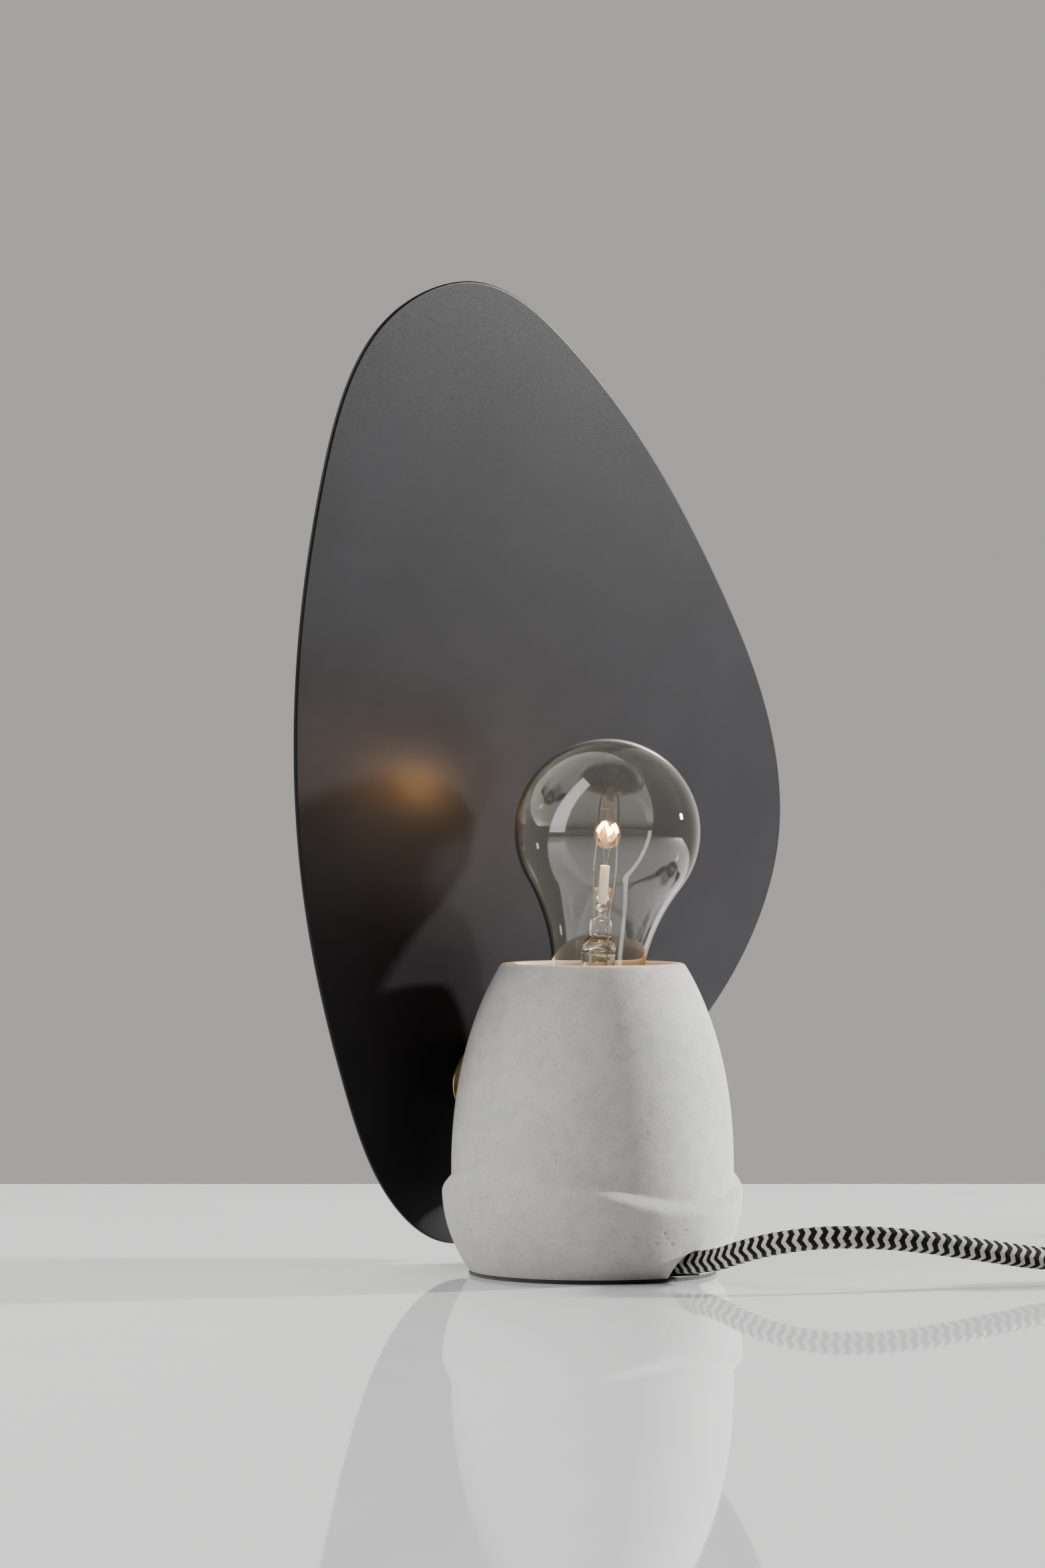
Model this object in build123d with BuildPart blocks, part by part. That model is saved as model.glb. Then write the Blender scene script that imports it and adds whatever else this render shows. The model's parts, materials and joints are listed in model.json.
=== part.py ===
"""Table lamp: a cast concrete foot with an E27 socket in its top, a pebble-shaped steel
plate hung behind the bulb on a threaded stud, and a textile mains cord.

Millimetres, +Z up. The origin is on the foot's axis, on the surface that the lamp stands on.
The cord leaves the foot towards -Y, and the plate stands on the +Y side.
"""

from math import cos, degrees, pi, radians, sin, sqrt, tan
import os

from build123d import *

os.makedirs("parts", exist_ok=True)

# ---- clearances -------------------------------------------------------------------------
thread_gap = 0.05        # radial, between threads that are drawn as plain cylinders
running_gap = 0.1        # radial, plate and knob on the stud, rocker on its pin
seat_gap = 0.1           # between neighbouring pieces of one sub-assembly
screw_in_gap = 0.4       # radial, bulb cap in the socket's screw shell

# ---- concrete foot ----------------------------------------------------------------------
felt_thickness = 1.3
felt_radius = 39.7
foot_height = 100.0
body_radius = 45.5       # the body's widest radius, at the height of body_waist
body_waist = 35.0
crown_rise = 20.4        # how far the body's elliptical outline would go on above the mouth
body_rise = foot_height - body_waist + crown_rise
lip_radius = 2.0         # rounded outer edge of the mouth
well_radius = 25.5
well_lip_radius = 1.2
shelf_thickness = 9.0    # concrete left between the well and the wiring recess
recess_radius = 31.0

# the proud band round the foot, with a top edge that rises and falls twice round
band_radius = 48.5
band_middle = 28.0       # mean height of the band's edge
band_wave = 6.0          # how far the edge rises and falls from its mean
band_drop = 46.5         # half height of the band's elliptical outline below band_middle
band_slope = 1.2         # rise of the sloping top facet for each millimetre inwards
band_points = 24         # points in each closed curve of the facet

# arched notch in the foot's lower edge, where the cord comes out
notch_width = 15.0
notch_top = 10.0

# ---- socket and bulb: they lean forward, away from the plate ------------------------------
socket_lean = 5.6        # degrees from upright, towards -Y
lean_depth = 23.5        # from the mouth down to where the leaning axis crosses the foot's axis
lean_height = foot_height - lean_depth
seat_depth = 38.0        # from that crossing down to the socket's seat, along the axis

holder_radius = 20.0
holder_wall = 2.0
holder_top = 14.0        # height of the holder's rim above the crossing
holder_split = -12.0     # where the body screws onto the cap
holder_dome_radius = 6.0
collar_radius = 7.5
collar_height = 8.0

nipple_radius = 5.0      # M10 x 1 hollow nipple
nipple_bore = 3.9
nipple_reach = 6.0       # length that stands out below the shelf
nut_across = 14.0
nut_height = 3.0
nipple_washer_radius = 10.0
nipple_washer_thickness = 1.2

shell_wall = 0.4
shell_depth = 24.0
core_gap = 4.0           # room for the sprung tongue between the shell and the core
core_height = 7.0        # ceramic core under the screw shell
terminal_radius = 1.75   # M3.5 terminal screws
terminal_spread = 9.0
terminal_head_radius = 3.15
terminal_head = 1.6
tongue_strip = 0.5       # thickness of the sprung tongue
tongue_width = 5.0
tongue_back = 3.5        # from the axis to the tongue's riser
tongue_foot = 6.5        # from the axis to the end that lies on the core
tongue_pad = 3.0         # from the axis to the end under the bulb
strip_width = 5.0        # springy strip beside the shell
strip_thickness = 0.6
strip_length = 8.0
terminal_room = 2.8      # from the core down to the cores' ends

bulb_radius = 30.0
bulb_centre = 66.2       # above the crossing, along the leaning axis
neck_radius = 14.4
neck_blend = 62.0        # radius of the inward curve from the globe to the neck
glass_wall = 0.8
cap_radius = 12.6        # mean radius of the E27 thread
cap_wall = 0.25
cap_rim = 18.2           # height of the cap's rim
cap_foot = -2.8          # height at which the thread ends
cap_base = -7.6          # underside of the black glass insulator
contact_radius = 4.8
contact_height = 1.2
cap_neck = 8.4           # radius of the cap's lower end
cap_cone = 2.8           # height of the cone from the thread down to it
contact_round = 0.6

neck_shoulder = 2.8      # from the cap's rim up to where the neck turns in
flare_drop = 9.0         # from the cap's rim down to the flared end of the stem
stem_radius = 5.4
stem_top = 31.7
pinch_width = 7.0
pinch_thickness = 3.2
pinch_top = 38.6
waist_top = 43.6         # the thin glass piece above the pinch
waist_radius = 1.1
rod_radius = 1.55
rod_top = 55.3
filament_height = 66.0
filament_span = 6.2
filament_radius = 0.45
lead_radius = 0.3
lead_turn = -47.0        # degrees, direction of the two lead wires round the axis
lead_spread_low = 2.4    # the leads' distance from the axis at the pinch,
lead_spread_waist = 2.6  # at the waist
lead_spread_rod = 3.4    # and beside the rod

# ---- the plate and its fixing -------------------------------------------------------------
plate_lean = 9.7         # degrees, top forward, so that it lies along the foot's wall
pivot_wall_height = 59.8 # height at which the stud leaves the wall
boss_radius = 10.0
boss_length = 6.9        # cast boss, from the wall out to its flat end
insert_radius = 5.0
insert_length = 14.0
stud_radius = 3.0        # M6
washer_radius = 12.0
washer_thickness = 1.4
washer_bevel = 0.3
plate_thickness = 1.5
plate_edge = 0.5         # rounded edge of the painted sheet
knob_radius = 9.0
knob_length = 11.0
knob_neck_radius = 7.0
knob_neck_length = 2.5
knob_wall = 3.0          # solid end of the knob, beyond the stud
knob_flutes = 24
knob_flute_radius = 0.6

# outline of the plate, seen from the bulb's side: right and up from the stud
plate_outline = [
    (-48.0, 259.5), (0.5, 242.5), (44.5, 211.0), (92.5, 163.5),
    (125.5, 119.5), (138.5, 77.5), (122.5, 30.0), (80.0, -12.0),
    (40.0, -42.0), (-2.0, -56.0), (-31.5, -41.0), (-60.0, -2.0),
    (-91.0, 67.0), (-104.5, 136.0), (-103.5, 192.5), (-87.5, 241.0),
]

# ---- cord ---------------------------------------------------------------------------------
cord_radius = 3.65
core_radius = 1.1        # insulated core wires inside the foot
switch_height = 8.0      # height of the cord's line through the switch
cord_heading = -27.0     # degrees from +X, the line that the switch lies on

# from the clamp in the foot, out of the notch, in a low arch to the switch
lead_route = [
    (0.0, -19.0, 5.1), (0.0, -46.5, 5.2), (-1.0, -69.0, 12.6), (5.0, -91.0, 16.8),
    (22.0, -109.0, 16.2), (43.0, -124.0, 12.2), (66.2, -134.2, 8.0), (84.0, -143.3, 8.0),
]
switch_start = Vector(*lead_route[-1])
along = Vector(cos(radians(cord_heading)), sin(radians(cord_heading)), 0)
aside = Vector(-along.Y, along.X, 0)

switch_length = 58.0
switch_width = 26.0
switch_wall = 1.8
switch_corner = 6.0
switch_foot_round = 1.2
switch_top_round = 2.0
screw_pillar = 1.6       # plastic round the screws in the lower shell
screw_socket = 1.4       # plastic round them in the upper shell
screw_sink_radius = 1.2  # room round the heads
screw_sink = 1.6
screw_length = 11.0
screw_start = 1.5
screw_head_reach = 1.0   # how far a head stands out past its shank
screw_head = 1.2
screw_head_start = 0.3
blade_reach = 13.0       # from the switch's middle to each brass contact
blade_length = 9.0
blade_width = 5.0
blade_height = 3.0
rocker_length = 15.0
rocker_width = 9.0
rocker_pin_height = 12.0
rocker_pin_radius = 1.0
rocker_swing = 14.0      # degrees between on and off
rocker_foot = 2.2        # below the pin
rocker_end = 5.2         # height of its two ends above the pin
rocker_saddle = 4.2      # height of the hollow between them
rocker_round = 0.5

# the put-away length: a neat coil, wound inwards on the table and outwards on top of that
coil_outer_turn = 47.75  # radius of the outermost turn's middle
coil_inner_turn = 25.85
coil_start = 44.0        # from the switch to where the cord joins the coil
tie_width = 9.0
tie_thickness = 0.8
tie_angles = (120.0, 300.0)

# from the coil to the plug, in plan
tail_route = [
    (244.3, -148.7, 11.8), (245.2, -137.0, 11.6), (246.5, -124.0, 8.6),
    (249.1, -111.0, 6.95), (251.0, -100.2, 6.85),
]
plug_heading = 80.0      # degrees from +X
relief_length = 22.0
relief_tip_radius = 4.6
relief_root_radius = 6.0
plug_length = 36.0
plug_width = 35.0
plug_waist = 22.0
plug_thickness = 13.7
pin_radius = 2.0
pin_length = 19.0
pin_spacing = 18.6
pin_sleeve_length = 10.0
pin_tip_round = 1.2
plug_collar = 3.0        # how much narrower the grip is where the relief enters it
plug_taper = 5.0         # length over which it widens
plug_grip = 16.0         # from the relief to the grip's end
plug_shoulder = 6.0      # length of the wide end round the pins
plug_round = 2.0
plug_edge_round = 1.8

# ---- clamp and cover in the recess ---------------------------------------------------------
cover_radius = 33.0
cover_thickness = 1.5
clamp_width = 24.0
clamp_length = 8.0
clamp_cheek = 2.5        # plastic over the cord
clamp_spread = 9.2       # from the cord's line to each screw
clamp_screw_radius = 1.6
clamp_head_radius = 2.9
clamp_head = 1.6
clamp_round = 2.0

# ---- planes worked out from the sizes ------------------------------------------------------
axis_plane = Plane(
    origin=(0, 0, lean_height),
    x_dir=(1, 0, 0),
    z_dir=(0, -sin(radians(socket_lean)), cos(radians(socket_lean))),
)


def on_axis(height):
    """The plane square to the leaning axis at a height above its crossing."""
    return axis_plane.offset(height)


def profile_plane():
    """The plane through the leaning axis, for profiles to be turned round it."""
    return Plane(origin=axis_plane.origin, x_dir=(1, 0, 0), z_dir=-axis_plane.y_dir)


bulb_axis = Axis(axis_plane.origin, axis_plane.z_dir)


def wall_radius(height):
    """Outer radius of the concrete body at a height above the table."""
    return body_radius * sqrt(1 - ((height - body_waist) / body_rise) ** 2)


back = Vector(0, cos(radians(plate_lean)), sin(radians(plate_lean)))
wall_point = Vector(0, wall_radius(pivot_wall_height), pivot_wall_height)
plate_front = wall_point + back * (boss_length + washer_thickness)


def behind(distance):
    """The plane square to the stud, so far behind the plate's front face, facing forward."""
    return Plane(origin=plate_front + back * distance, x_dir=(1, 0, 0), z_dir=-back)


def written(builder, name):
    """Labels a finished piece and writes its STEP file."""
    builder.part.label = name
    export_step(builder.part, f"parts/{name}.step")


# ==== concrete foot =========================================================================
def wave_curve(radius):
    """A closed curve on a cylinder, along the sloping facet of the band's top."""
    points = []
    for step in range(band_points):
        angle = 360 * step / band_points
        # measured from -Y, so the edge is low at the front and back and high at the sides
        edge = band_middle - band_wave * cos(radians(2 * angle))
        height = edge + (band_radius - radius) * band_slope
        points.append((radius * sin(radians(angle)), -radius * cos(radians(angle)), height))
    return Edge.make_spline(points, periodic=True)


facet = Face.make_surface_from_curves(
    wave_curve(body_radius - 6), wave_curve(band_radius + 3)
)

with BuildPart() as above_band:
    extrude(facet, amount=body_waist + band_wave, dir=(0, 0, 1))

band_top = band_middle + band_wave + 6
with BuildPart() as band:
    with BuildSketch(Plane.XZ):
        with BuildLine():
            low = Line((body_radius - 8, felt_thickness), (felt_radius, felt_thickness))
            swell = Spline(
                [low @ 1]
                + [
                    (
                        band_radius * sqrt(1 - ((band_middle - z) / band_drop) ** 2),
                        z,
                    )
                    for z in (10.0, 19.0)
                ]
                + [(band_radius, band_middle)],
                tangents=[(0.62, 1.0), (0, 1)],
                tangent_scalars=[1, 1],
            )
            Polyline(
                swell @ 1,
                (band_radius, band_top),
                (body_radius - 8, band_top),
                low @ 0,
            )
        make_face()
    revolve(axis=Axis.Z)
    add(above_band.part, mode=Mode.SUBTRACT)

# the well and the recess end at floors that are square to the leaning axis
with BuildPart() as well:
    with Locations((0, 0, foot_height + 1)):
        Cylinder(well_radius, foot_height, align=(Align.CENTER, Align.CENTER, Align.MAX))
    split(bisect_by=on_axis(-seat_depth), keep=Keep.TOP)

with BuildPart() as recess:
    Cylinder(recess_radius, foot_height, align=(Align.CENTER, Align.CENTER, Align.MIN))
    split(bisect_by=on_axis(-seat_depth - shelf_thickness), keep=Keep.BOTTOM)

with BuildPart() as concrete_body:
    with BuildSketch(Plane.XZ):
        with BuildLine():
            mouth = wall_radius(foot_height)
            wall = Spline(
                [(body_radius, body_waist)]
                + [
                    (wall_radius(z), z)
                    for z in (body_waist + (foot_height - body_waist) * k / 65 for k in (15, 30, 45, 56))
                ]
                + [(mouth, foot_height)],
                tangents=[
                    (0, 1),
                    (-(body_radius / body_rise) ** 2 * (foot_height - body_waist) / mouth, 1),
                ],
            )
            Polyline(
                wall @ 1,
                (0, foot_height),
                (0, felt_thickness),
                (body_radius - 7, felt_thickness),
                (body_radius, band_middle - band_wave - 4),
                wall @ 0,
            )
        make_face()
    revolve(axis=Axis.Z)
    mouth_edge = concrete_body.edges().group_by(Axis.Z)[-1]
    fillet(mouth_edge, lip_radius)
    add(band.part)
    # cast boss that the plate's stud screws into
    with BuildSketch(behind(-washer_thickness)):
        Circle(boss_radius)
    extrude(amount=boss_length + 4)
    add(well.part, mode=Mode.SUBTRACT)
    add(recess.part, mode=Mode.SUBTRACT)
    mouth_inside = (
        concrete_body.edges()
        .filter_by(GeomType.CIRCLE)
        .filter_by(lambda e: abs(e.radius - well_radius) < 0.01)
        .sort_by(Axis.Z)[-1]
    )
    fillet(mouth_inside, well_lip_radius)
    # hole for the nipple
    with BuildSketch(on_axis(-seat_depth + 1)):
        Circle(nipple_radius + seat_gap)
    extrude(amount=-(shelf_thickness + 2), mode=Mode.SUBTRACT)
    # blind hole for the brass insert
    with BuildSketch(behind(-washer_thickness)):
        Circle(insert_radius)
    extrude(amount=insert_length, mode=Mode.SUBTRACT)
    # step for the cover
    with BuildSketch(Plane.XY.offset(felt_thickness)):
        Circle(cover_radius + seat_gap)
    extrude(amount=cover_thickness, mode=Mode.SUBTRACT)
    # cord notch
    with BuildSketch(Plane.XZ.offset(recess_radius - 4)):
        with Locations((0, notch_top - notch_width / 2)):
            Circle(notch_width / 2)
            Rectangle(notch_width, notch_top, align=(Align.CENTER, Align.MAX))
    extrude(amount=band_radius, mode=Mode.SUBTRACT)

written(concrete_body, "concrete_body")

with BuildPart() as felt_pad:
    Cylinder(felt_radius, felt_thickness, align=(Align.CENTER, Align.CENTER, Align.MIN))
written(felt_pad, "felt_pad")

# the clamp's screws go down into the cover, one each side of the cord
clamp_middle = lead_route[0][1] - clamp_length / 2
clamp_places = [(-clamp_spread, clamp_middle), (clamp_spread, clamp_middle)]

with BuildPart() as base_cover:
    with Locations((0, 0, felt_thickness)):
        Cylinder(cover_radius, cover_thickness, align=(Align.CENTER, Align.CENTER, Align.MIN))
    # slot under the cord
    with BuildSketch(Plane.XY.offset(felt_thickness)):
        with Locations((0, -cover_radius)):
            SlotOverall(30, notch_width, rotation=90)
        with Locations(*clamp_places):
            Circle(clamp_screw_radius + seat_gap)
    extrude(amount=cover_thickness, mode=Mode.SUBTRACT)
written(base_cover, "base_cover")

# ==== socket =================================================================================
holder_foot = -seat_depth
cap_floor = holder_foot + collar_height

with BuildPart() as nipple:
    with BuildSketch(on_axis(holder_foot - shelf_thickness - nipple_reach)):
        Circle(nipple_radius)
        Circle(nipple_bore, mode=Mode.SUBTRACT)
    extrude(amount=nipple_reach + shelf_thickness + collar_height - 1)
    chamfer(nipple.edges().group_by(Axis.Z)[0].sort_by(SortBy.RADIUS)[-1], 0.5)
written(nipple, "nipple")

with BuildPart() as nipple_washer:
    with BuildSketch(on_axis(holder_foot - shelf_thickness)):
        Circle(nipple_washer_radius)
        Circle(nipple_radius + seat_gap, mode=Mode.SUBTRACT)
    extrude(amount=-nipple_washer_thickness)
written(nipple_washer, "nipple_washer")

with BuildPart() as nipple_nut:
    with BuildSketch(on_axis(holder_foot - shelf_thickness - nipple_washer_thickness)):
        RegularPolygon(nut_across / 2, 6, major_radius=False)
        Circle(nipple_radius + thread_gap, mode=Mode.SUBTRACT)
    extrude(amount=-nut_height)
written(nipple_nut, "nipple_nut")

with BuildPart() as holder_cap:
    with BuildSketch(profile_plane()):
        with BuildLine():
            collar = Polyline(
                (nipple_radius + thread_gap, holder_foot),
                (collar_radius, holder_foot),
                (collar_radius, cap_floor),
                (holder_radius - holder_dome_radius, cap_floor),
            )
            dome = RadiusArc(
                collar @ 1,
                (holder_radius, cap_floor + holder_dome_radius),
                -holder_dome_radius,
            )
            inside = holder_radius - holder_wall
            Polyline(
                dome @ 1,
                (holder_radius, holder_split),
                (inside, holder_split),
                (inside, cap_floor + holder_dome_radius),
                (inside - holder_dome_radius + holder_wall, cap_floor + holder_wall),
                (nipple_radius + thread_gap, cap_floor + holder_wall),
                collar @ 0,
            )
        make_face()
    revolve(axis=bulb_axis)
written(holder_cap, "holder_cap")

shell_inside = cap_radius + screw_in_gap
shell_outside = shell_inside + shell_wall

with BuildPart() as holder_body:
    with BuildSketch(on_axis(holder_split)):
        Circle(holder_radius)
        Circle(holder_radius - holder_wall, mode=Mode.SUBTRACT)
    extrude(amount=holder_top - holder_split)
    # inward collar that holds the screw shell
    with BuildSketch(on_axis(holder_top - holder_wall)):
        Circle(holder_radius - 0.5)
        Circle(shell_outside + seat_gap, mode=Mode.SUBTRACT)
    extrude(amount=holder_wall)
    rim = holder_body.edges().filter_by(GeomType.CIRCLE).group_by(Axis.Z)[-1]
    fillet(rim.sort_by(SortBy.RADIUS)[-1], 0.8)
written(holder_body, "holder_body")

shell_foot = holder_top - shell_depth
with BuildPart() as screw_shell:
    with BuildSketch(on_axis(shell_foot)):
        Circle(shell_outside)
        Circle(shell_inside, mode=Mode.SUBTRACT)
    extrude(amount=shell_depth)
written(screw_shell, "screw_shell")

core_radius_outer = holder_radius - holder_wall - seat_gap
core_top = shell_foot - core_gap
core_foot = core_top - core_height
with BuildPart() as contact_core:
    with BuildSketch(on_axis(core_top)):
        Circle(core_radius_outer)
    extrude(amount=-core_height)
    # hollows for the contacts, the wires and the screws
    with BuildSketch(on_axis(core_top)):
        with Locations((terminal_spread, 0), (-terminal_spread, 0)):
            Circle(terminal_radius + seat_gap)
    extrude(amount=-core_height, mode=Mode.SUBTRACT)
written(contact_core, "contact_core")

tongue_height = cap_base - contact_height - core_top - seat_gap
tongue_lift = tongue_strip / 2 + 0.05
with BuildPart() as centre_contact:
    # sprung brass tongue: a foot on the core, a riser and a pad under the bulb
    with BuildSketch(Plane(origin=on_axis(core_top).origin, x_dir=(1, 0, 0),
                           z_dir=-axis_plane.y_dir)):
        with BuildLine():
            tongue = Polyline(
                (tongue_foot, tongue_lift), (-tongue_back, tongue_lift),
                (-tongue_back, tongue_height - tongue_strip),
                (tongue_pad, tongue_height - tongue_strip)
            )
            offset(tongue, amount=tongue_strip / 2)
        make_face()
    extrude(amount=tongue_width / 2, both=True)
written(centre_contact, "centre_contact")

with BuildPart() as side_contact:
    with BuildSketch(on_axis(core_top)):
        with Locations((0, shell_outside + seat_gap + 0.4)):
            Rectangle(strip_width, strip_thickness)
    extrude(amount=strip_length)
written(side_contact, "side_contact")

terminal_places = [(terminal_spread, 0), (-terminal_spread, 0)]
with BuildPart() as terminal_screws:
    # shank up into the core, head under it
    for radius, foot, reach in (
        (terminal_radius, core_foot - seat_gap, core_height - 1),
        (terminal_head_radius, core_foot - seat_gap, -terminal_head),
    ):
        with BuildSketch(on_axis(foot)):
            with Locations(*terminal_places):
                Circle(radius)
        extrude(amount=reach)
written(terminal_screws, "terminal_screws")


def bend_radii(points):
    """The radius of each corner's arc: 0.45 of the shorter run over the tangent of half the turn."""
    radii = []
    for before, corner, after in zip(points, points[1:], points[2:]):
        run_in = Vector(*corner) - Vector(*before)
        run_out = Vector(*after) - Vector(*corner)
        half_turn = radians(run_in.get_angle(run_out)) / 2
        radii.append(0.45 * min(run_in.length, run_out.length) / tan(half_turn))
    return radii


def tube(points, radius, name):
    """A tube of straight runs and tangent arcs along a route; prints its radii and its volume."""
    radii = bend_radii(points)
    with BuildPart() as piece:
        with BuildLine() as route:
            FilletPolyline(*points, radius=radii)
        start = Vector(*points[1]) - Vector(*points[0])
        with BuildSketch(Plane(origin=points[0], z_dir=start)):
            Circle(radius)
        sweep(path=route.wires()[0])
    length = route.wires()[0].length
    share = piece.part.volume / (pi * radius ** 2 * length)
    print(name, "length", round(length, 1), "volume/section*length", round(share, 4),
          "radii", [round(r, 1) for r in radii])
    return piece


# live and neutral cores: from the clamp, up through the nipple, to the terminals
def axis_point(x, y, height):
    """A point beside the leaning axis."""
    point = axis_plane.from_local_coords(Vector(x, y, height))
    return (point.X, point.Y, point.Z)


nipple_foot = holder_foot - shelf_thickness - nipple_reach
with BuildPart() as core_wires:
    for side in (-1, 1):
        shift = side * (core_radius + 0.15)
        route_points = [
            (shift, lead_route[0][1] + 0.2, lead_route[0][2]),
            (shift, -8.0, 5.4),
            (shift, 2.0, 9.0),
            axis_point(shift, -1.0, nipple_foot - 6),
            axis_point(shift, 0, nipple_foot + 5),
            axis_point(shift, 0.2, cap_floor - 3),
            axis_point(side * 5.0, -1.0, cap_floor + 4.5),
            axis_point(side * 8.0, -1.5, core_foot - terminal_room),
        ]
        add(tube(route_points, core_radius, f"core wire {side}").part)
written(core_wires, "core_wires")

# ==== cord clamp in the recess ================================================================
clamp_height = lead_route[0][2] + cord_radius + clamp_cheek
clamp_floor = felt_thickness + cover_thickness
with BuildPart() as cord_clamp:
    with Locations((0, clamp_middle, clamp_floor)):
        Box(clamp_width, clamp_length, clamp_height - clamp_floor,
            align=(Align.CENTER, Align.CENTER, Align.MIN))
    fillet(cord_clamp.edges().filter_by(Axis.Y).group_by(Axis.Z)[-1], clamp_round)
    # channel that squeezes the cord
    with BuildSketch(Plane.XZ.offset(-clamp_middle)):
        with Locations((0, lead_route[0][2])):
            Circle(cord_radius + seat_gap)
            Rectangle(2 * (cord_radius + seat_gap), 2 * cord_radius,
                      align=(Align.CENTER, Align.MAX))
    extrude(amount=clamp_length, both=True, mode=Mode.SUBTRACT)
    with BuildSketch(Plane.XY.offset(clamp_height)):
        with Locations(*clamp_places):
            Circle(clamp_screw_radius + seat_gap)
    extrude(amount=-clamp_height, mode=Mode.SUBTRACT)
written(cord_clamp, "cord_clamp")

with BuildPart() as clamp_screws:
    for radius, start, reach in (
        (clamp_screw_radius, clamp_height, -(clamp_height - felt_thickness - 0.2)),
        (clamp_head_radius, clamp_height, clamp_head),
    ):
        with BuildSketch(Plane.XY.offset(start)):
            with Locations(*clamp_places):
                Circle(radius)
        extrude(amount=reach)
written(clamp_screws, "clamp_screws")

# ==== bulb ====================================================================================
blend_offset = sqrt((bulb_radius + neck_blend) ** 2 - (neck_radius + neck_blend) ** 2)
blend_height = bulb_centre - blend_offset
neck_foot = cap_rim + neck_shoulder
flare_foot = cap_rim - flare_drop


def bulb_outline(inset):
    """Closed outline of the globe, its neck and the sleeve inside the cap, moved inwards."""
    radius = bulb_radius - inset
    share = bulb_radius / (bulb_radius + neck_blend)
    meet = (
        (neck_radius + neck_blend) * share * radius / bulb_radius,
        bulb_centre - blend_offset * share * radius / bulb_radius,
    )
    foot_x = neck_radius + neck_blend - sqrt(
        (neck_blend + inset) ** 2 - (neck_foot - blend_height) ** 2
    )
    sleeve = cap_radius - cap_wall - seat_gap - inset
    globe = ThreePointArc(
        (0, bulb_centre + radius), (radius, bulb_centre), meet
    )
    neck = RadiusArc(globe @ 1, (foot_x, neck_foot), neck_blend + inset)
    shoulder = Spline(
        neck @ 1, (sleeve, cap_rim + 0.4), tangents=[neck % 1, (0, -1)]
    )
    Polyline(
        shoulder @ 1,
        (sleeve, flare_foot - 2 * inset),
        (0, flare_foot - 2 * inset),
        globe @ 0,
    )


with BuildPart() as glass_envelope:
    with BuildSketch(profile_plane()):
        with BuildLine():
            bulb_outline(0)
        make_face()
        with BuildLine():
            bulb_outline(glass_wall)
        make_face(mode=Mode.SUBTRACT)
    revolve(axis=bulb_axis)
written(glass_envelope, "glass_envelope")

flare_radius = cap_radius - cap_wall - seat_gap - glass_wall - seat_gap
with BuildPart() as glass_stem:
    with BuildSketch(profile_plane()):
        with BuildLine():
            Polyline(
                (stem_radius - 1, flare_foot),
                (flare_radius, flare_foot),
                (flare_radius, flare_foot + 1),
                (stem_radius, flare_foot + 6),
                (stem_radius, stem_top - 2),
                (pinch_thickness / 2, stem_top),
                (0, stem_top),
                (0, stem_top - 3),
                (stem_radius - 1, stem_top - 4),
                close=True,
            )
        make_face()
    revolve(axis=bulb_axis)
    with BuildSketch(on_axis(stem_top - 2)):
        RectangleRounded(pinch_width, pinch_thickness, 1, rotation=lead_turn)
    extrude(amount=pinch_top - stem_top + 2)
    with BuildSketch(on_axis(pinch_top)):
        Circle(waist_radius)
    extrude(amount=waist_top - pinch_top)
written(glass_stem, "glass_stem")

with BuildPart() as support_rod:
    with BuildSketch(on_axis(waist_top)):
        Circle(rod_radius)
    extrude(amount=rod_top - waist_top)
    chamfer(support_rod.edges().filter_by(GeomType.CIRCLE), 0.3)
written(support_rod, "support_rod")


def beside_rod(reach, height):
    """A point beside the leaning axis, in the plane of the two lead wires."""
    return axis_point(
        reach * cos(radians(lead_turn)), reach * sin(radians(lead_turn)), height
    )


with BuildPart() as lead_wires:
    for side in (-1, 1):
        wire = [
            beside_rod(side * lead_spread_low, pinch_top + seat_gap),
            beside_rod(side * lead_spread_waist, waist_top),
            beside_rod(side * lead_spread_rod, rod_top - 4),
            beside_rod(side * filament_span / 2, filament_height - filament_radius - seat_gap),
        ]
        add(tube(wire, lead_radius, f"lead wire {side}").part)
written(lead_wires, "lead_wires")

with BuildPart() as filament:
    with BuildSketch(
        Plane(
            origin=beside_rod(-filament_span / 2, filament_height),
            z_dir=Vector(*beside_rod(1, 0)) - Vector(*beside_rod(0, 0)),
        )
    ):
        Circle(filament_radius)
    extrude(amount=filament_span)
written(filament, "filament")

with BuildPart() as bulb_cap_shell:
    with BuildSketch(profile_plane()):
        with BuildLine():
            Polyline(
                (cap_radius, cap_rim),
                (cap_radius, cap_foot),
                (cap_neck, cap_foot - cap_cone),
                (cap_neck - cap_wall, cap_foot - cap_cone),
                (cap_radius - cap_wall, cap_foot + 0.2),
                (cap_radius - cap_wall, cap_rim),
                close=True,
            )
        make_face()
    revolve(axis=bulb_axis)
written(bulb_cap_shell, "bulb_cap_shell")

insulator_top = cap_foot - 2.0
with BuildPart() as bulb_cap_insulator:
    with BuildSketch(profile_plane()):
        with BuildLine():
            Polyline(
                (0, insulator_top),
                (cap_neck - 0.6, insulator_top),
                (cap_neck - cap_wall - seat_gap, insulator_top - 0.9),
                (contact_radius + 0.5, cap_base),
                (0, cap_base),
                close=True,
            )
        make_face()
    revolve(axis=bulb_axis)
written(bulb_cap_insulator, "bulb_cap_insulator")

with BuildPart() as bulb_contact:
    with BuildSketch(on_axis(cap_base)):
        Circle(contact_radius)
    extrude(amount=-contact_height)
    fillet(bulb_contact.edges().group_by(Axis.Z)[0], contact_round)
written(bulb_contact, "bulb_contact")

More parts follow.
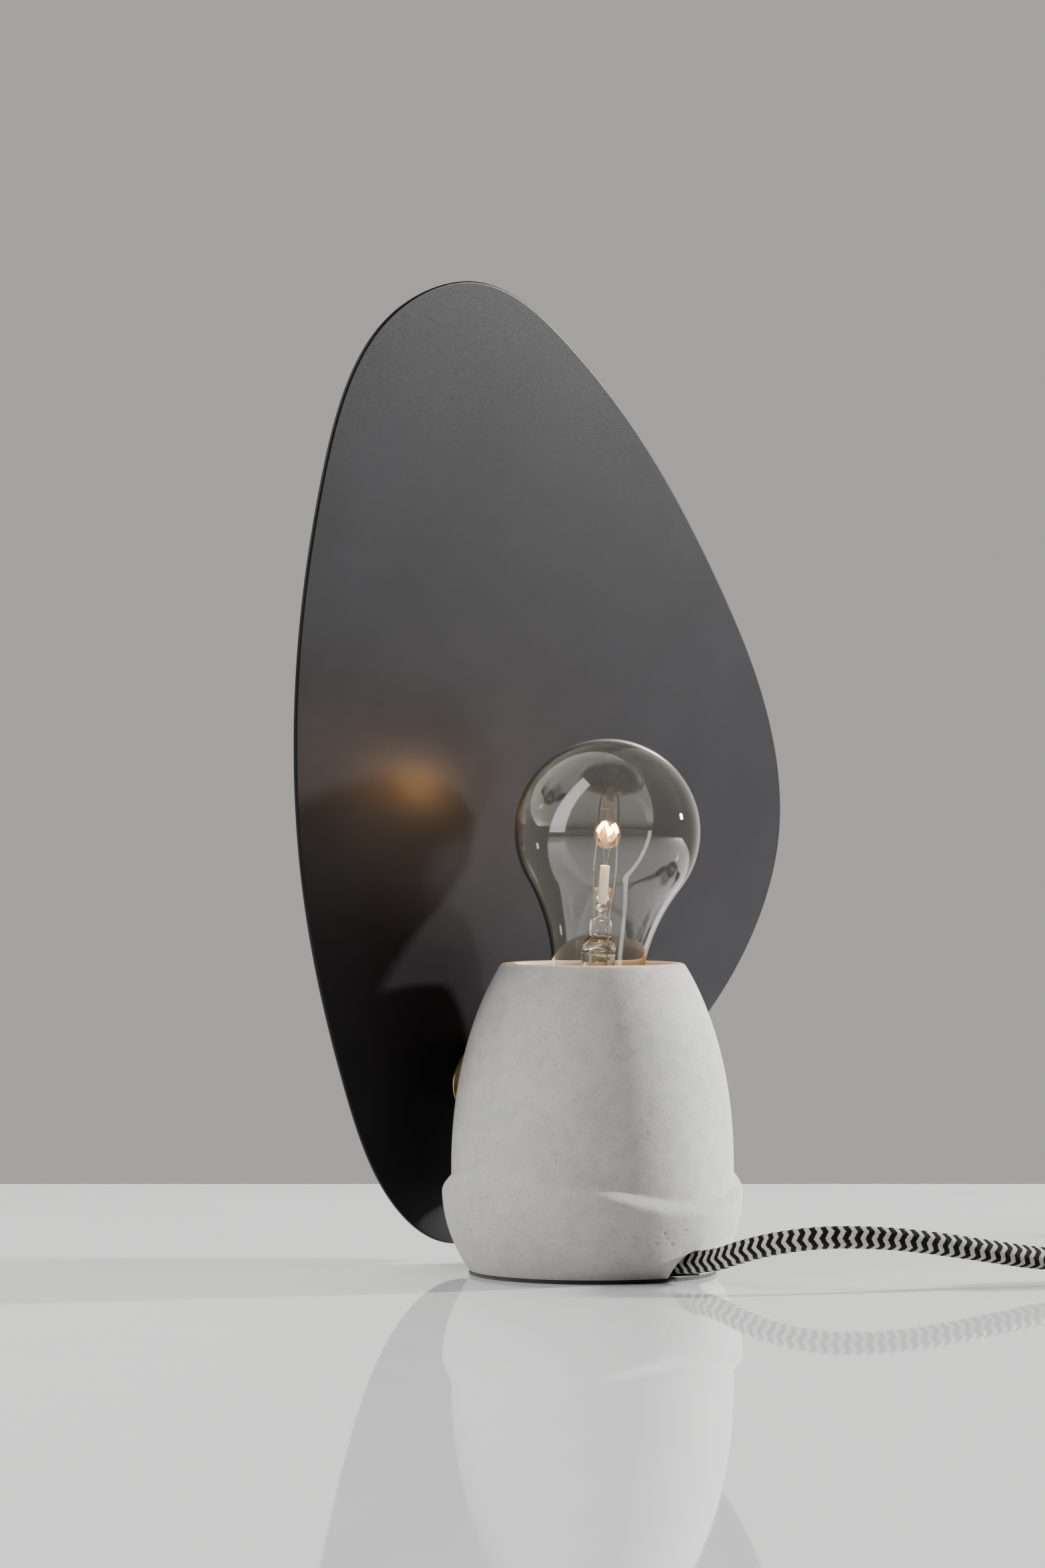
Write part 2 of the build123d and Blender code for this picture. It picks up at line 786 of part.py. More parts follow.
# ==== plate and its fixing =====================================================================
with BuildPart() as shade_plate:
    with BuildSketch(behind(0)):
        with BuildLine():
            Spline(*plate_outline, periodic=True)
        make_face()
        Circle(stud_radius + running_gap, mode=Mode.SUBTRACT)
    extrude(amount=-plate_thickness)
    rim = shade_plate.edges().filter_by(GeomType.CIRCLE, reverse=True).filter_by(
        lambda e: e.length > 100
    )
    fillet(rim, plate_edge)
written(shade_plate, "shade_plate")

with BuildPart() as boss_insert:
    with BuildSketch(behind(-washer_thickness)):
        Circle(insert_radius - thread_gap)
        Circle(stud_radius + thread_gap, mode=Mode.SUBTRACT)
    extrude(amount=insert_length - seat_gap)
written(boss_insert, "boss_insert")


def outer_circles(builder):
    """The round edges of a washer's rim."""
    return builder.edges().filter_by(GeomType.CIRCLE).group_by(SortBy.RADIUS)[-1]


with BuildPart() as front_washer:
    with BuildSketch(behind(0)):
        Circle(washer_radius)
        Circle(stud_radius + seat_gap, mode=Mode.SUBTRACT)
    extrude(amount=washer_thickness)
    chamfer(outer_circles(front_washer), washer_bevel)
written(front_washer, "front_washer")

knob_start = plate_thickness + washer_thickness
with BuildPart() as shade_stud:
    with BuildSketch(behind(knob_start + knob_length - knob_wall - 1)):
        Circle(stud_radius)
    extrude(amount=knob_start + knob_length - knob_wall - 1 + washer_thickness + insert_length - 1)
    chamfer(shade_stud.edges().filter_by(GeomType.CIRCLE), 0.5)
written(shade_stud, "shade_stud")

with BuildPart() as rear_washer:
    with BuildSketch(behind(plate_thickness)):
        Circle(washer_radius)
        Circle(stud_radius + running_gap, mode=Mode.SUBTRACT)
    extrude(amount=-washer_thickness)
    chamfer(outer_circles(rear_washer), washer_bevel)
written(rear_washer, "rear_washer")

with BuildPart() as thumb_knob:
    with BuildSketch(behind(knob_start)):
        Circle(knob_neck_radius)
    extrude(amount=-knob_neck_length)
    with BuildSketch(behind(knob_start + knob_neck_length)):
        Circle(knob_radius)
        with PolarLocations(knob_radius, knob_flutes):
            Circle(knob_flute_radius, mode=Mode.SUBTRACT)
    extrude(amount=-(knob_length - knob_neck_length))
    with BuildSketch(behind(knob_start)):
        Circle(stud_radius + running_gap)
    extrude(amount=-(knob_length - knob_wall), mode=Mode.SUBTRACT)
written(thumb_knob, "thumb_knob")

# ==== cord and the switch on it ================================================================
written(tube(lead_route, cord_radius, "cord lead"), "cord_lead")

switch_end = switch_start + along * switch_length
coil_floor = tie_thickness + 0.05
coil_join = switch_end + along * coil_start
join_height = coil_floor + cord_radius
link_route = [
    (switch_end.X, switch_end.Y, switch_height),
    *[
        ((switch_end + along * reach).X, (switch_end + along * reach).Y, height)
        for reach, height in ((15.0, 7.6), (29.0, 5.3))
    ],
    (coil_join.X, coil_join.Y, join_height),
]
written(tube(link_route, cord_radius, "cord link"), "cord_link")

coil_centre = coil_join + aside * coil_outer_turn
coil_inside = coil_inner_turn - cord_radius
coil_outside = coil_outer_turn + cord_radius
coil_height = 4 * cord_radius
coil_plane = Plane(origin=(coil_centre.X, coil_centre.Y, coil_floor))
coil_profile = Plane(origin=coil_plane.origin, x_dir=(1, 0, 0), z_dir=(0, -1, 0))
coil_axis = Axis(coil_plane.origin, (0, 0, 1))
coil_middle = ((coil_inside + coil_outside) / 2, coil_height / 2)
with BuildPart() as cord_coil:
    with BuildSketch(coil_profile):
        with Locations(coil_middle):
            RectangleRounded(coil_outside - coil_inside, coil_height, cord_radius - 0.1)
    revolve(axis=coil_axis)
written(cord_coil, "cord_coil")

written(tube(tail_route, cord_radius, "cord tail"), "cord_tail")

tie_gap = 0.05
with BuildPart() as coil_ties:
    for angle in tie_angles:
        turn = radians(angle)
        start = Plane(
            origin=coil_plane.origin,
            x_dir=(cos(turn), sin(turn), 0),
            z_dir=(sin(turn), -cos(turn), 0),
        )
        with BuildSketch(start):
            with Locations(coil_middle):
                RectangleRounded(
                    coil_outside - coil_inside + 2 * (tie_gap + tie_thickness),
                    coil_height + 2 * (tie_gap + tie_thickness),
                    cord_radius,
                )
                RectangleRounded(
                    coil_outside - coil_inside + 2 * tie_gap,
                    coil_height + 2 * tie_gap,
                    cord_radius - 0.2,
                    mode=Mode.SUBTRACT,
                )
        revolve(axis=coil_axis, revolution_arc=degrees(tie_width / coil_outer_turn))
written(coil_ties, "coil_ties")

switch_middle = switch_start + along * (switch_length / 2)


def switch_plane(height):
    """A level plane at the switch, with its X axis along the cord."""
    return Plane(origin=(switch_middle.X, switch_middle.Y, height), x_dir=along, z_dir=(0, 0, 1))


switch_screw_places = [(21.0, 7.6), (-21.0, -7.6)]
switch_screw_radius = 1.2
window_gap = 0.8
housing_height = 2 * switch_height
inner_length = switch_length - 2 * switch_wall
inner_width = switch_width - 2 * switch_wall
inner_corner = switch_corner - switch_wall

with BuildPart() as switch_lower:
    with BuildSketch(switch_plane(0)):
        RectangleRounded(switch_length, switch_width, switch_corner)
    extrude(amount=switch_height)
    fillet(switch_lower.edges().group_by(Axis.Z)[0], switch_foot_round)
    with BuildSketch(switch_plane(switch_wall)):
        RectangleRounded(inner_length, inner_width, inner_corner)
        with Locations(*switch_screw_places):
            Circle(switch_screw_radius + screw_pillar, mode=Mode.SUBTRACT)
    extrude(amount=switch_height, mode=Mode.SUBTRACT)
    with BuildSketch(switch_plane(0)):
        with Locations(*switch_screw_places):
            Circle(switch_screw_radius + seat_gap)
    extrude(amount=switch_height, mode=Mode.SUBTRACT)
    with BuildSketch(switch_plane(0)):
        with Locations(*switch_screw_places):
            Circle(switch_screw_radius + screw_sink_radius)
    extrude(amount=screw_sink, mode=Mode.SUBTRACT)
written(switch_lower, "switch_lower")

with BuildPart() as switch_upper:
    with BuildSketch(switch_plane(switch_height)):
        RectangleRounded(switch_length, switch_width, switch_corner)
    extrude(amount=switch_height)
    fillet(switch_upper.edges().group_by(Axis.Z)[-1], switch_top_round)
    with BuildSketch(switch_plane(switch_height)):
        RectangleRounded(inner_length, inner_width, inner_corner)
        with Locations(*switch_screw_places):
            Circle(switch_screw_radius + screw_socket, mode=Mode.SUBTRACT)
    extrude(amount=switch_height - switch_wall, mode=Mode.SUBTRACT)
    with BuildSketch(switch_plane(switch_height)):
        with Locations(*switch_screw_places):
            Circle(switch_screw_radius + thread_gap)
    extrude(amount=switch_height - switch_wall, mode=Mode.SUBTRACT)
    with BuildSketch(switch_plane(housing_height - switch_wall)):
        Rectangle(rocker_length + 2 * window_gap, rocker_width + window_gap)
    extrude(amount=switch_wall, mode=Mode.SUBTRACT)
written(switch_upper, "switch_upper")

with BuildPart() as switch_screws:
    for radius, foot, reach in (
        (switch_screw_radius, screw_start, screw_length),
        (switch_screw_radius + screw_head_reach, screw_head_start, screw_head),
    ):
        with BuildSketch(switch_plane(foot)):
            with Locations(*switch_screw_places):
                Circle(radius)
        extrude(amount=reach)
written(switch_screws, "switch_screws")

with BuildPart() as switch_contacts:
    with BuildSketch(switch_plane(switch_wall)):
        with Locations((blade_reach, 0), (-blade_reach, 0)):
            Rectangle(blade_length, blade_width)
    extrude(amount=blade_height)
written(switch_contacts, "switch_contacts")

pin_centre = Vector(switch_middle.X, switch_middle.Y, rocker_pin_height)
tilt = radians(rocker_swing / 2)
rocker_along = along * cos(tilt) + Vector(0, 0, 1) * sin(tilt)
with BuildPart() as switch_rocker:
    # at rest the end nearer the plug stands up and the other is pressed in
    with BuildSketch(Plane(origin=pin_centre, x_dir=rocker_along, z_dir=-aside)):
        with BuildLine():
            half = rocker_length / 2
            Polyline(
                (-half, -rocker_foot), (half, -rocker_foot), (half, rocker_end),
                (0, rocker_saddle), (-half, rocker_end), close=True
            )
        make_face()
        Circle(rocker_pin_radius + running_gap, mode=Mode.SUBTRACT)
    extrude(amount=rocker_width / 2, both=True)
    fillet(switch_rocker.edges().group_by(Axis.Z)[-1], rocker_round)
written(switch_rocker, "switch_rocker")

with BuildPart() as rocker_pin:
    with BuildSketch(Plane(origin=pin_centre, x_dir=along, z_dir=-aside)):
        Circle(rocker_pin_radius)
    extrude(amount=inner_width / 2 - seat_gap, both=True)
written(rocker_pin, "rocker_pin")

# ==== plug =====================================================================================
plug_along = Vector(cos(radians(plug_heading)), sin(radians(plug_heading)), 0)
plug_start = Vector(*tail_route[-1])
plug_face = relief_length + plug_length


def across_plug(reach):
    """The plane square to the plug's axis, so far from the cord's end."""
    return Plane(origin=plug_start + plug_along * reach, x_dir=(0, 0, 1), z_dir=plug_along)


with BuildPart() as plug_relief:
    with BuildSketch(across_plug(0)):
        Circle(relief_tip_radius)
    with BuildSketch(across_plug(relief_length)):
        Circle(relief_root_radius)
    loft()
written(plug_relief, "plug_relief")

with BuildPart() as plug_body:
    with BuildSketch(Plane(origin=(plug_start.X, plug_start.Y, 0), x_dir=plug_along,
                           z_dir=(0, 0, 1))):
        with BuildLine():
            half_width = plug_width / 2
            waist = plug_waist / 2
            Polyline(
                (relief_length, -waist + plug_collar),
                (relief_length + plug_taper, -waist),
                (relief_length + plug_grip, -waist - 1),
                (plug_face - plug_shoulder, -half_width),
                (plug_face, -half_width),
                (plug_face, half_width),
                (plug_face - plug_shoulder, half_width),
                (relief_length + plug_grip, waist + 1),
                (relief_length + plug_taper, waist),
                (relief_length, waist - plug_collar),
                close=True,
            )
        make_face()
    extrude(amount=plug_thickness)
    fillet(plug_body.edges().filter_by(Axis.Z), plug_round)
    flat_edges = plug_body.edges().group_by(Axis.Z)
    fillet(flat_edges[-1] + flat_edges[0], plug_edge_round)
written(plug_body, "plug_body")

# the sleeve is drawn as wide as the bare pin, so that both are one straight wall
neck_of_pin = pin_radius - 0.5
with BuildPart() as plug_pins:
    for radius, start, reach in (
        (neck_of_pin, plug_face, pin_sleeve_length),
        (pin_radius, plug_face + pin_sleeve_length, pin_length - pin_sleeve_length),
    ):
        with BuildSketch(across_plug(start)):
            with Locations((0, pin_spacing / 2), (0, -pin_spacing / 2)):
                Circle(radius)
        extrude(amount=reach)
    tips = plug_pins.faces().filter_by(
        lambda f: abs((f.center() - plug_start).dot(plug_along) - plug_face - pin_length) < 0.01
    )
    fillet(tips.edges(), pin_tip_round)
written(plug_pins, "plug_pins")

with BuildPart() as pin_sleeves:
    with BuildSketch(across_plug(plug_face)):
        with Locations((0, pin_spacing / 2), (0, -pin_spacing / 2)):
            Circle(pin_radius)
            Circle(neck_of_pin + thread_gap, mode=Mode.SUBTRACT)
    extrude(amount=pin_sleeve_length - thread_gap)
written(pin_sleeves, "pin_sleeves")
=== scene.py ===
"""Looks of the table lamp with a cast foot, a clear bulb, a leaning plate and a textile cord.

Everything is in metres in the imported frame: the foot stands on z = 0 with its axis on the
origin, the plate is on the +Y side and the cord leaves towards -Y. Sizes inside the classes
are in millimetres and are turned to metres where a mesh is made.
"""

import json
import logging
from dataclasses import dataclass, field
from enum import Enum
from typing import Any, Iterable, Sequence

import bmesh
import bpy
import numpy as np
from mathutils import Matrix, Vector


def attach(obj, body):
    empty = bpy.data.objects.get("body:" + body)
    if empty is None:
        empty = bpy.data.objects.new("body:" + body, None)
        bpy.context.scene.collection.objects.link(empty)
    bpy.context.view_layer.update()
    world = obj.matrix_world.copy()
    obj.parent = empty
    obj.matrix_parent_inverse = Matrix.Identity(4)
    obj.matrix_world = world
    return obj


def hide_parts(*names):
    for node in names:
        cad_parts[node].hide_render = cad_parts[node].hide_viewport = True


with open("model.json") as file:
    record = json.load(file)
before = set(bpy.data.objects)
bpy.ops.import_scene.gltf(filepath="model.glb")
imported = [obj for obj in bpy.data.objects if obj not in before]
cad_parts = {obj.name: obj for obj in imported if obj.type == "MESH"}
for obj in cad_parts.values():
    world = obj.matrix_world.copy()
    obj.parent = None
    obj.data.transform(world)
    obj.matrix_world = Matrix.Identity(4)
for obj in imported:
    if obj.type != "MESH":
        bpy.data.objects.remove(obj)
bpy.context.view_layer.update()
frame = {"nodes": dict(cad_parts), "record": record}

log = logging.getLogger("lamp")
MM = 0.001
TURN = 2 * np.pi


class Body(Enum):
    """The bodies that the pieces made here ride on, by their names in the frame."""

    BASE = "base"
    SHADE = "shade"
    KNOB = "knob"
    BULB = "bulb"


class Grain(Enum):
    """Which texture gives a plain finish its grain."""

    NOISE = "ShaderNodeTexNoise"
    CELLS = "ShaderNodeTexVoronoi"


# ---- nodes ---------------------------------------------------------------------------------
def linear(colour: str) -> tuple[float, float, float, float]:
    """Turns an sRGB hex colour into linear RGBA.

    Args:
        colour: Six hex digits after a hash.

    Returns:
        Red, green, blue and an alpha of one.
    """
    channel = np.array([int(colour[i : i + 2], 16) for i in (1, 3, 5)]) / 255
    light = np.where(channel <= 0.04045, channel / 12.92, ((channel + 0.055) / 1.055) ** 2.4)
    return (*(float(value) for value in light), 1.0)


def add_node(
    tree: bpy.types.NodeTree,
    kind: str,
    inputs: dict[Any, Any] | None = None,
    stops: Sequence[tuple[float, str]] = (),
    **settings: Any,
) -> bpy.types.Node:
    """Adds a node with its settings, values and links.

    Args:
        tree: The tree to add to.
        kind: The node's type name.
        inputs: Values or sockets to link, by the input's name or number.
        stops: Places and hex colours of a colour ramp.
        **settings: Properties of the node.

    Returns:
        The new node.
    """
    node = tree.nodes.new(kind)
    for key, value in settings.items():
        setattr(node, key, value)
    for key, value in (inputs or {}).items():
        if isinstance(value, bpy.types.NodeSocket):
            tree.links.new(value, node.inputs[key])
        else:
            node.inputs[key].default_value = value
    if stops:
        elements = node.color_ramp.elements
        while len(elements) < len(stops):
            elements.new(1.0)
        for element, (place, colour) in zip(elements, stops):
            element.position = place
            element.color = linear(colour)
    return node


# ---- finishes ------------------------------------------------------------------------------
@dataclass(frozen=True)
class Finish:
    """A surface finish: a name, a record slot and the shader's even values.

    The plain finish is a mottle between two colours with a fine grain in its relief.
    """

    name: str
    slot: str
    dark: str
    light: str
    mottle: float = 6.0  # size of the colour's patches, mm
    grain: float = 0.5  # size of the relief's grain, mm
    relief: float = 0.02  # depth of the relief, mm
    rough: tuple[float, float] = (0.4, 0.6)
    texture: Grain = Grain.NOISE
    values: dict[str, Any] = field(default_factory=dict)

    def material(self) -> bpy.types.Material:
        """Builds the material, once."""
        known = bpy.data.materials.get(self.name)
        if known:
            return known
        material = bpy.data.materials.new(self.name)
        material.use_nodes = True
        tree = material.node_tree
        tree.nodes.clear()
        shader = add_node(tree, "ShaderNodeBsdfPrincipled", dict(self.values))
        add_node(tree, "ShaderNodeOutputMaterial", {"Surface": shader.outputs[0]})
        self.pattern(tree, shader)
        material.diffuse_color = linear(self.light)
        return material

    def noise(
        self,
        tree: bpy.types.NodeTree,
        size: float,
        detail: float = 3.0,
        vector: bpy.types.NodeSocket | None = None,
    ) -> bpy.types.NodeSocket:
        """Noise with features of a size in millimetres, on the object's own coordinates.

        Args:
            tree: The tree to add to.
            size: Width of the features in millimetres.
            detail: Octaves of finer detail.
            vector: Coordinates to use in place of the object's.

        Returns:
            The noise's value.
        """
        where = vector or add_node(tree, "ShaderNodeTexCoord").outputs["Object"]
        values = {"Vector": where, "Scale": 1 / (size * MM), "Detail": detail}
        return add_node(tree, "ShaderNodeTexNoise", values).outputs[0]

    def bump(
        self,
        tree: bpy.types.NodeTree,
        shader: bpy.types.Node,
        height: bpy.types.NodeSocket,
        depth: float,
    ) -> None:
        """Gives the shader a relief of a depth in millimetres."""
        values = {"Height": height, "Distance": depth * MM, "Strength": 1.0}
        bump = add_node(tree, "ShaderNodeBump", values)
        tree.links.new(bump.outputs[0], shader.inputs["Normal"])

    def tone(
        self,
        tree: bpy.types.NodeTree,
        shader: bpy.types.Node,
        value: bpy.types.NodeSocket,
        ends: tuple[float, float] = (0.3, 0.7),
        socket: str = "Base Color",
    ) -> None:
        """Links the shader's colour, which goes from dark to light between two values.

        Args:
            tree: The tree to add to.
            shader: The shader.
            value: What the colour follows.
            ends: The values at which the colour is all dark and all light.
            socket: The shader's input to colour.
        """
        stops = ((ends[0], self.dark), (ends[1], self.light))
        colour = add_node(tree, "ShaderNodeValToRGB", {0: value}, stops)
        tree.links.new(colour.outputs[0], shader.inputs[socket])

    def gloss(
        self,
        tree: bpy.types.NodeTree,
        shader: bpy.types.Node,
        value: bpy.types.NodeSocket,
        ends: tuple[float, float] = (0.3, 0.7),
    ) -> None:
        """Links the shader's roughness, which spans the finish's range between two values."""
        span = {"Value": value, "From Min": ends[0], "From Max": ends[1]}
        span |= {"To Min": self.rough[0], "To Max": self.rough[1]}
        rough = add_node(tree, "ShaderNodeMapRange", span)
        tree.links.new(rough.outputs[0], shader.inputs["Roughness"])

    def pattern(self, tree: bpy.types.NodeTree, shader: bpy.types.Node) -> None:
        """Links colour, roughness and relief to the shader."""
        patches = self.noise(tree, self.mottle)
        self.tone(tree, shader, patches)
        self.gloss(tree, shader, patches)
        where = add_node(tree, "ShaderNodeTexCoord").outputs["Object"]
        grain = add_node(
            tree, self.texture.value, {"Vector": where, "Scale": 1 / (self.grain * MM)}
        )
        self.bump(tree, shader, grain.outputs[0], self.relief)


@dataclass(frozen=True)
class CastConcrete(Finish):
    """Fine cast concrete: pale grey paste, sand specks, faint clouds and open air holes.

    The air holes are in the mesh; its hole attribute paints shade into them, darker where they are
    deeper.
    """

    def pattern(self, tree: bpy.types.NodeTree, shader: bpy.types.Node) -> None:
        """Clouds 26 mm wide, blotches 5 mm wide and sand of 0.45 mm over the paste, and painted
        shade in the air holes.
        """
        clouds = self.noise(tree, 26.0, 5.0)
        paste = add_node(
            tree,
            "ShaderNodeValToRGB",
            {0: clouds},
            ((0.3, self.dark), (0.5, "#afaeac"), (0.75, self.light)),
        )
        blotches = self.noise(tree, 5.0, 6.0)
        veil = add_node(
            tree, "ShaderNodeValToRGB", {0: blotches}, ((0.35, "#f3f3f4"), (0.6, "#ffffff"))
        )
        cloudy = add_node(
            tree,
            "ShaderNodeMix",
            {0: 1.0, 6: paste.outputs[0], 7: veil.outputs[0]},
            data_type="RGBA",
            blend_type="MULTIPLY",
        )
        sand = self.noise(tree, 0.45, 2.0)
        specks = add_node(
            tree,
            "ShaderNodeValToRGB",
            {0: sand},
            ((0.28, "#8d8b88"), (0.38, "#f4f4f4"), (0.64, "#f4f4f4"), (0.74, "#ffffff")),
        )
        sanded = add_node(
            tree,
            "ShaderNodeMix",
            {0: 0.8, 6: cloudy.outputs[2], 7: specks.outputs[0]},
            data_type="RGBA",
            blend_type="MULTIPLY",
        )
        # painted shade: each air hole's colour is mixed towards dark grey #84827e by its depth,
        # for the shade inside it
        hole = add_node(tree, "ShaderNodeAttribute", attribute_name="hole")
        holes_with_painted_shade = add_node(
            tree,
            "ShaderNodeMix",
            {0: hole.outputs["Fac"], 6: sanded.outputs[2], 7: linear("#84827e")},
            data_type="RGBA",
        )
        tree.links.new(holes_with_painted_shade.outputs[2], shader.inputs["Base Color"])
        add = add_node(
            tree, "ShaderNodeMath", {0: sand, 1: self.noise(tree, 1.6, 4.0)}, operation="ADD"
        )
        self.bump(tree, shader, add.outputs[0], self.relief)


@dataclass(frozen=True)
class PowderCoat(Finish):
    """Fine-textured polyester powder coat: tiny rounded bumps that break up the gloss."""

    def pattern(self, tree: bpy.types.NodeTree, shader: bpy.types.Node) -> None:
        """Bumps of the grain's size over faint clouds in colour and gloss."""
        self.tone(tree, shader, self.noise(tree, self.mottle, 4.0))
        bumps = self.noise(tree, self.grain, 2.0)
        self.gloss(tree, shader, bumps, (0.35, 0.65))
        self.bump(tree, shader, bumps, self.relief)


@dataclass(frozen=True)
class TurnedMetal(Finish):
    """Lathe-turned metal: fine rings about the piece's own axis, from its "ring" attribute."""

    def pattern(self, tree: bpy.types.NodeTree, shader: bpy.types.Node) -> None:
        """Rings one grain apart, with tarnish in wide patches."""
        ring = add_node(tree, "ShaderNodeAttribute", attribute_name="ring")
        line = add_node(
            tree,
            "ShaderNodeMath",
            {0: ring.outputs["Fac"], 1: 1 / self.grain},
            operation="MULTIPLY",
        )
        rings = add_node(
            tree,
            "ShaderNodeTexNoise",
            {"W": line.outputs[0], "Scale": 1.0, "Detail": 2.0},
            noise_dimensions="1D",
        )
        self.tone(tree, shader, self.noise(tree, self.mottle, 4.0))
        self.gloss(tree, shader, rings.outputs[0], (0.0, 1.0))
        self.bump(tree, shader, rings.outputs[0], self.relief)


@dataclass(frozen=True)
class ClearGlass(Finish):
    """Blown soda-lime glass: clear face on, a breath of green where the wall is seen edge on."""

    def pattern(self, tree: bpy.types.NodeTree, shader: bpy.types.Node) -> None:
        """The tint deepens towards grazing; slow waves of the blown wall are in its relief."""
        facing = add_node(tree, "ShaderNodeLayerWeight", {"Blend": 0.25}).outputs["Facing"]
        ends = ((0.35, self.light), (0.95, self.dark))
        tint = add_node(tree, "ShaderNodeValToRGB", {0: facing}, ends)
        tree.links.new(tint.outputs[0], shader.inputs["Base Color"])
        self.bump(tree, shader, self.noise(tree, self.grain, 1.0), self.relief)


@dataclass(frozen=True)
class GlowingCoil(Finish):
    """Tungsten at a warm white heat; its turns differ a little in heat."""

    power: float = 220.0

    def pattern(self, tree: bpy.types.NodeTree, shader: bpy.types.Node) -> None:
        """Emission from orange where the coil is cool to yellow white where it is hot."""
        heat = self.noise(tree, self.mottle, 1.0)
        self.tone(tree, shader, heat, (0.25, 0.6), "Emission Color")
        shader.inputs["Emission Strength"].default_value = self.power


@dataclass(frozen=True)
class TextileBraid(Finish):
    """Braided cotton over the cord: zigzag bands of black and pale grey across it.

    U of the piece's own map counts stripe pairs along the cord and V goes once round it.
    """

    zigs: int = 5  # zigzags round the cord
    swing: float = 0.34  # height of a zigzag in stripe pairs
    threads: int = 6  # threads drawn in each band; the real ones are finer

    def pattern(self, tree: bpy.types.NodeTree, shader: bpy.types.Node) -> None:
        """Stripe phase is U plus a triangle wave of V; threads are a finer sine of it, which gives
        their relief and paints shade between them.
        """

        def work(operation: str, first: Any, second: Any = 0.0) -> bpy.types.NodeSocket:
            """One step of arithmetic."""
            values = {0: first, 1: second}
            return add_node(tree, "ShaderNodeMath", values, operation=operation).outputs[0]

        plan = add_node(tree, "ShaderNodeUVMap", uv_map="cord")
        both = add_node(tree, "ShaderNodeSeparateXYZ", {0: plan.outputs[0]})
        along, round_it = both.outputs[0], both.outputs[1]
        zig = work("PINGPONG", work("MULTIPLY", round_it, float(self.zigs)), 0.5)
        fuzz = self.noise(tree, 0.5, 2.0)
        ragged = work("MULTIPLY", work("SUBTRACT", fuzz, 0.5), 0.22)
        phase = work("ADD", work("ADD", along, work("MULTIPLY", zig, 2 * self.swing)), ragged)
        share = work("FRACT", phase)
        colour = add_node(
            tree,
            "ShaderNodeValToRGB",
            {0: share},
            (
                (0.0, self.light),
                (0.04, self.dark),
                (0.54, self.dark),
                (0.58, self.light),
                (1.0, self.light),
            ),
        )
        thread = work("SINE", work("MULTIPLY", phase, float(TURN * 2 * self.threads)))
        strand = work("SINE", work("MULTIPLY", zig, float(TURN * 2 * self.threads)))
        woven = work("ADD", work("MULTIPLY", thread, 0.5), work("MULTIPLY", strand, 0.35))
        # painted shade: the colour is darkened to 0.72 in the grooves between threads and
        # lightened to 1.1 on their crests
        shade = add_node(
            tree,
            "ShaderNodeMapRange",
            {"Value": woven, "From Min": -0.8, "From Max": 0.8, "To Min": 0.72, "To Max": 1.1},
        )
        braid_colour_with_painted_shade = add_node(
            tree,
            "ShaderNodeVectorMath",
            {0: colour.outputs[0], 1: shade.outputs[0]},
            operation="MULTIPLY",
        )
        tree.links.new(braid_colour_with_painted_shade.outputs[0], shader.inputs["Base Color"])
        self.bump(tree, shader, woven, self.relief)


# Fine concrete cast in a smooth mould: matt pale grey with sand specks and open air holes, with
# shade painted into the holes.
CONCRETE = CastConcrete(
    "cast_concrete", "concrete", "#aaa9a7", "#b4b3b0", relief=0.05, values={"Roughness": 0.82}
)
# Pressed wool felt, die cut: near black with a soft sheen and a ragged rim.
FELT = Finish(
    "wool_felt", "felt", "#08080a", "#1b1b1e", 3.0, 0.25, 0.12, (0.9, 1.0),
    values={"Sheen Weight": 0.25, "Sheen Roughness": 0.6},
)
# Pressed fibre board, punched: dull brown with short dark fibres.
FIBRE_BOARD = Finish("pressed_fibre_board", "fibre_board", "#3c2a1c", "#5b432e", 2.0, 0.4, 0.05)
# Steel screws and nuts with bright zinc plating: cool grey, half bright, a fine spangle.
ZINC = Finish(
    "zinc_plated_steel", "zinc_steel", "#8d9096", "#b9bcc2", 4.0, 0.2, 0.01, (0.22, 0.4),
    values={"Metallic": 1.0},
)
# Black phenolic, compression moulded: deep black with a thin glassy skin.
PHENOLIC = Finish(
    "black_phenolic_moulding", "black_phenolic", "#0d0c0c", "#191817", 5.0, 0.6, 0.01,
    (0.22, 0.35), values={"Coat Weight": 0.2, "Coat Roughness": 0.15},
)
# Steatite, pressed and fired: cream white, silky, with a faint grain.
STEATITE = Finish("fired_steatite", "ceramic_core", "#d8cfbb", "#efe8d8", 3.0, 0.3, 0.02)
# Free-cutting brass off the lathe: clear yellow, with rings of light round its axis.
BRASS = TurnedMetal(
    "turned_brass", "brass", "#b8964f", "#dcc48a", 5.0, 0.12, 0.01, (0.14, 0.3),
    values={"Metallic": 1.0},
)
# Sheet brass, stamped: deeper yellow, slightly tarnished in patches.
SHEET_BRASS = Finish(
    "stamped_brass", "brass", "#a98a4a", "#d3b878", 3.0, 0.3, 0.01, (0.2, 0.35),
    values={"Metallic": 1.0},
)
# Rolled brass with nickel plating: warm silver, bright on the crests.
NICKEL_SHELL = Finish(
    "nickel_plated_brass", "nickel_shell", "#a79f8c", "#cbc4b3", 3.0, 0.3, 0.01, (0.18, 0.32),
    values={"Metallic": 1.0},
)
# Blown soda-lime glass: clear, its wall slightly wavy, olive at the rim.
GLASS = ClearGlass(
    "blown_clear_glass", "clear_glass", "#b3ab62", "#fdfdf6", grain=24.0, relief=0.05,
    values={"Roughness": 0.0, "IOR": 1.47, "Transmission Weight": 1.0},
)
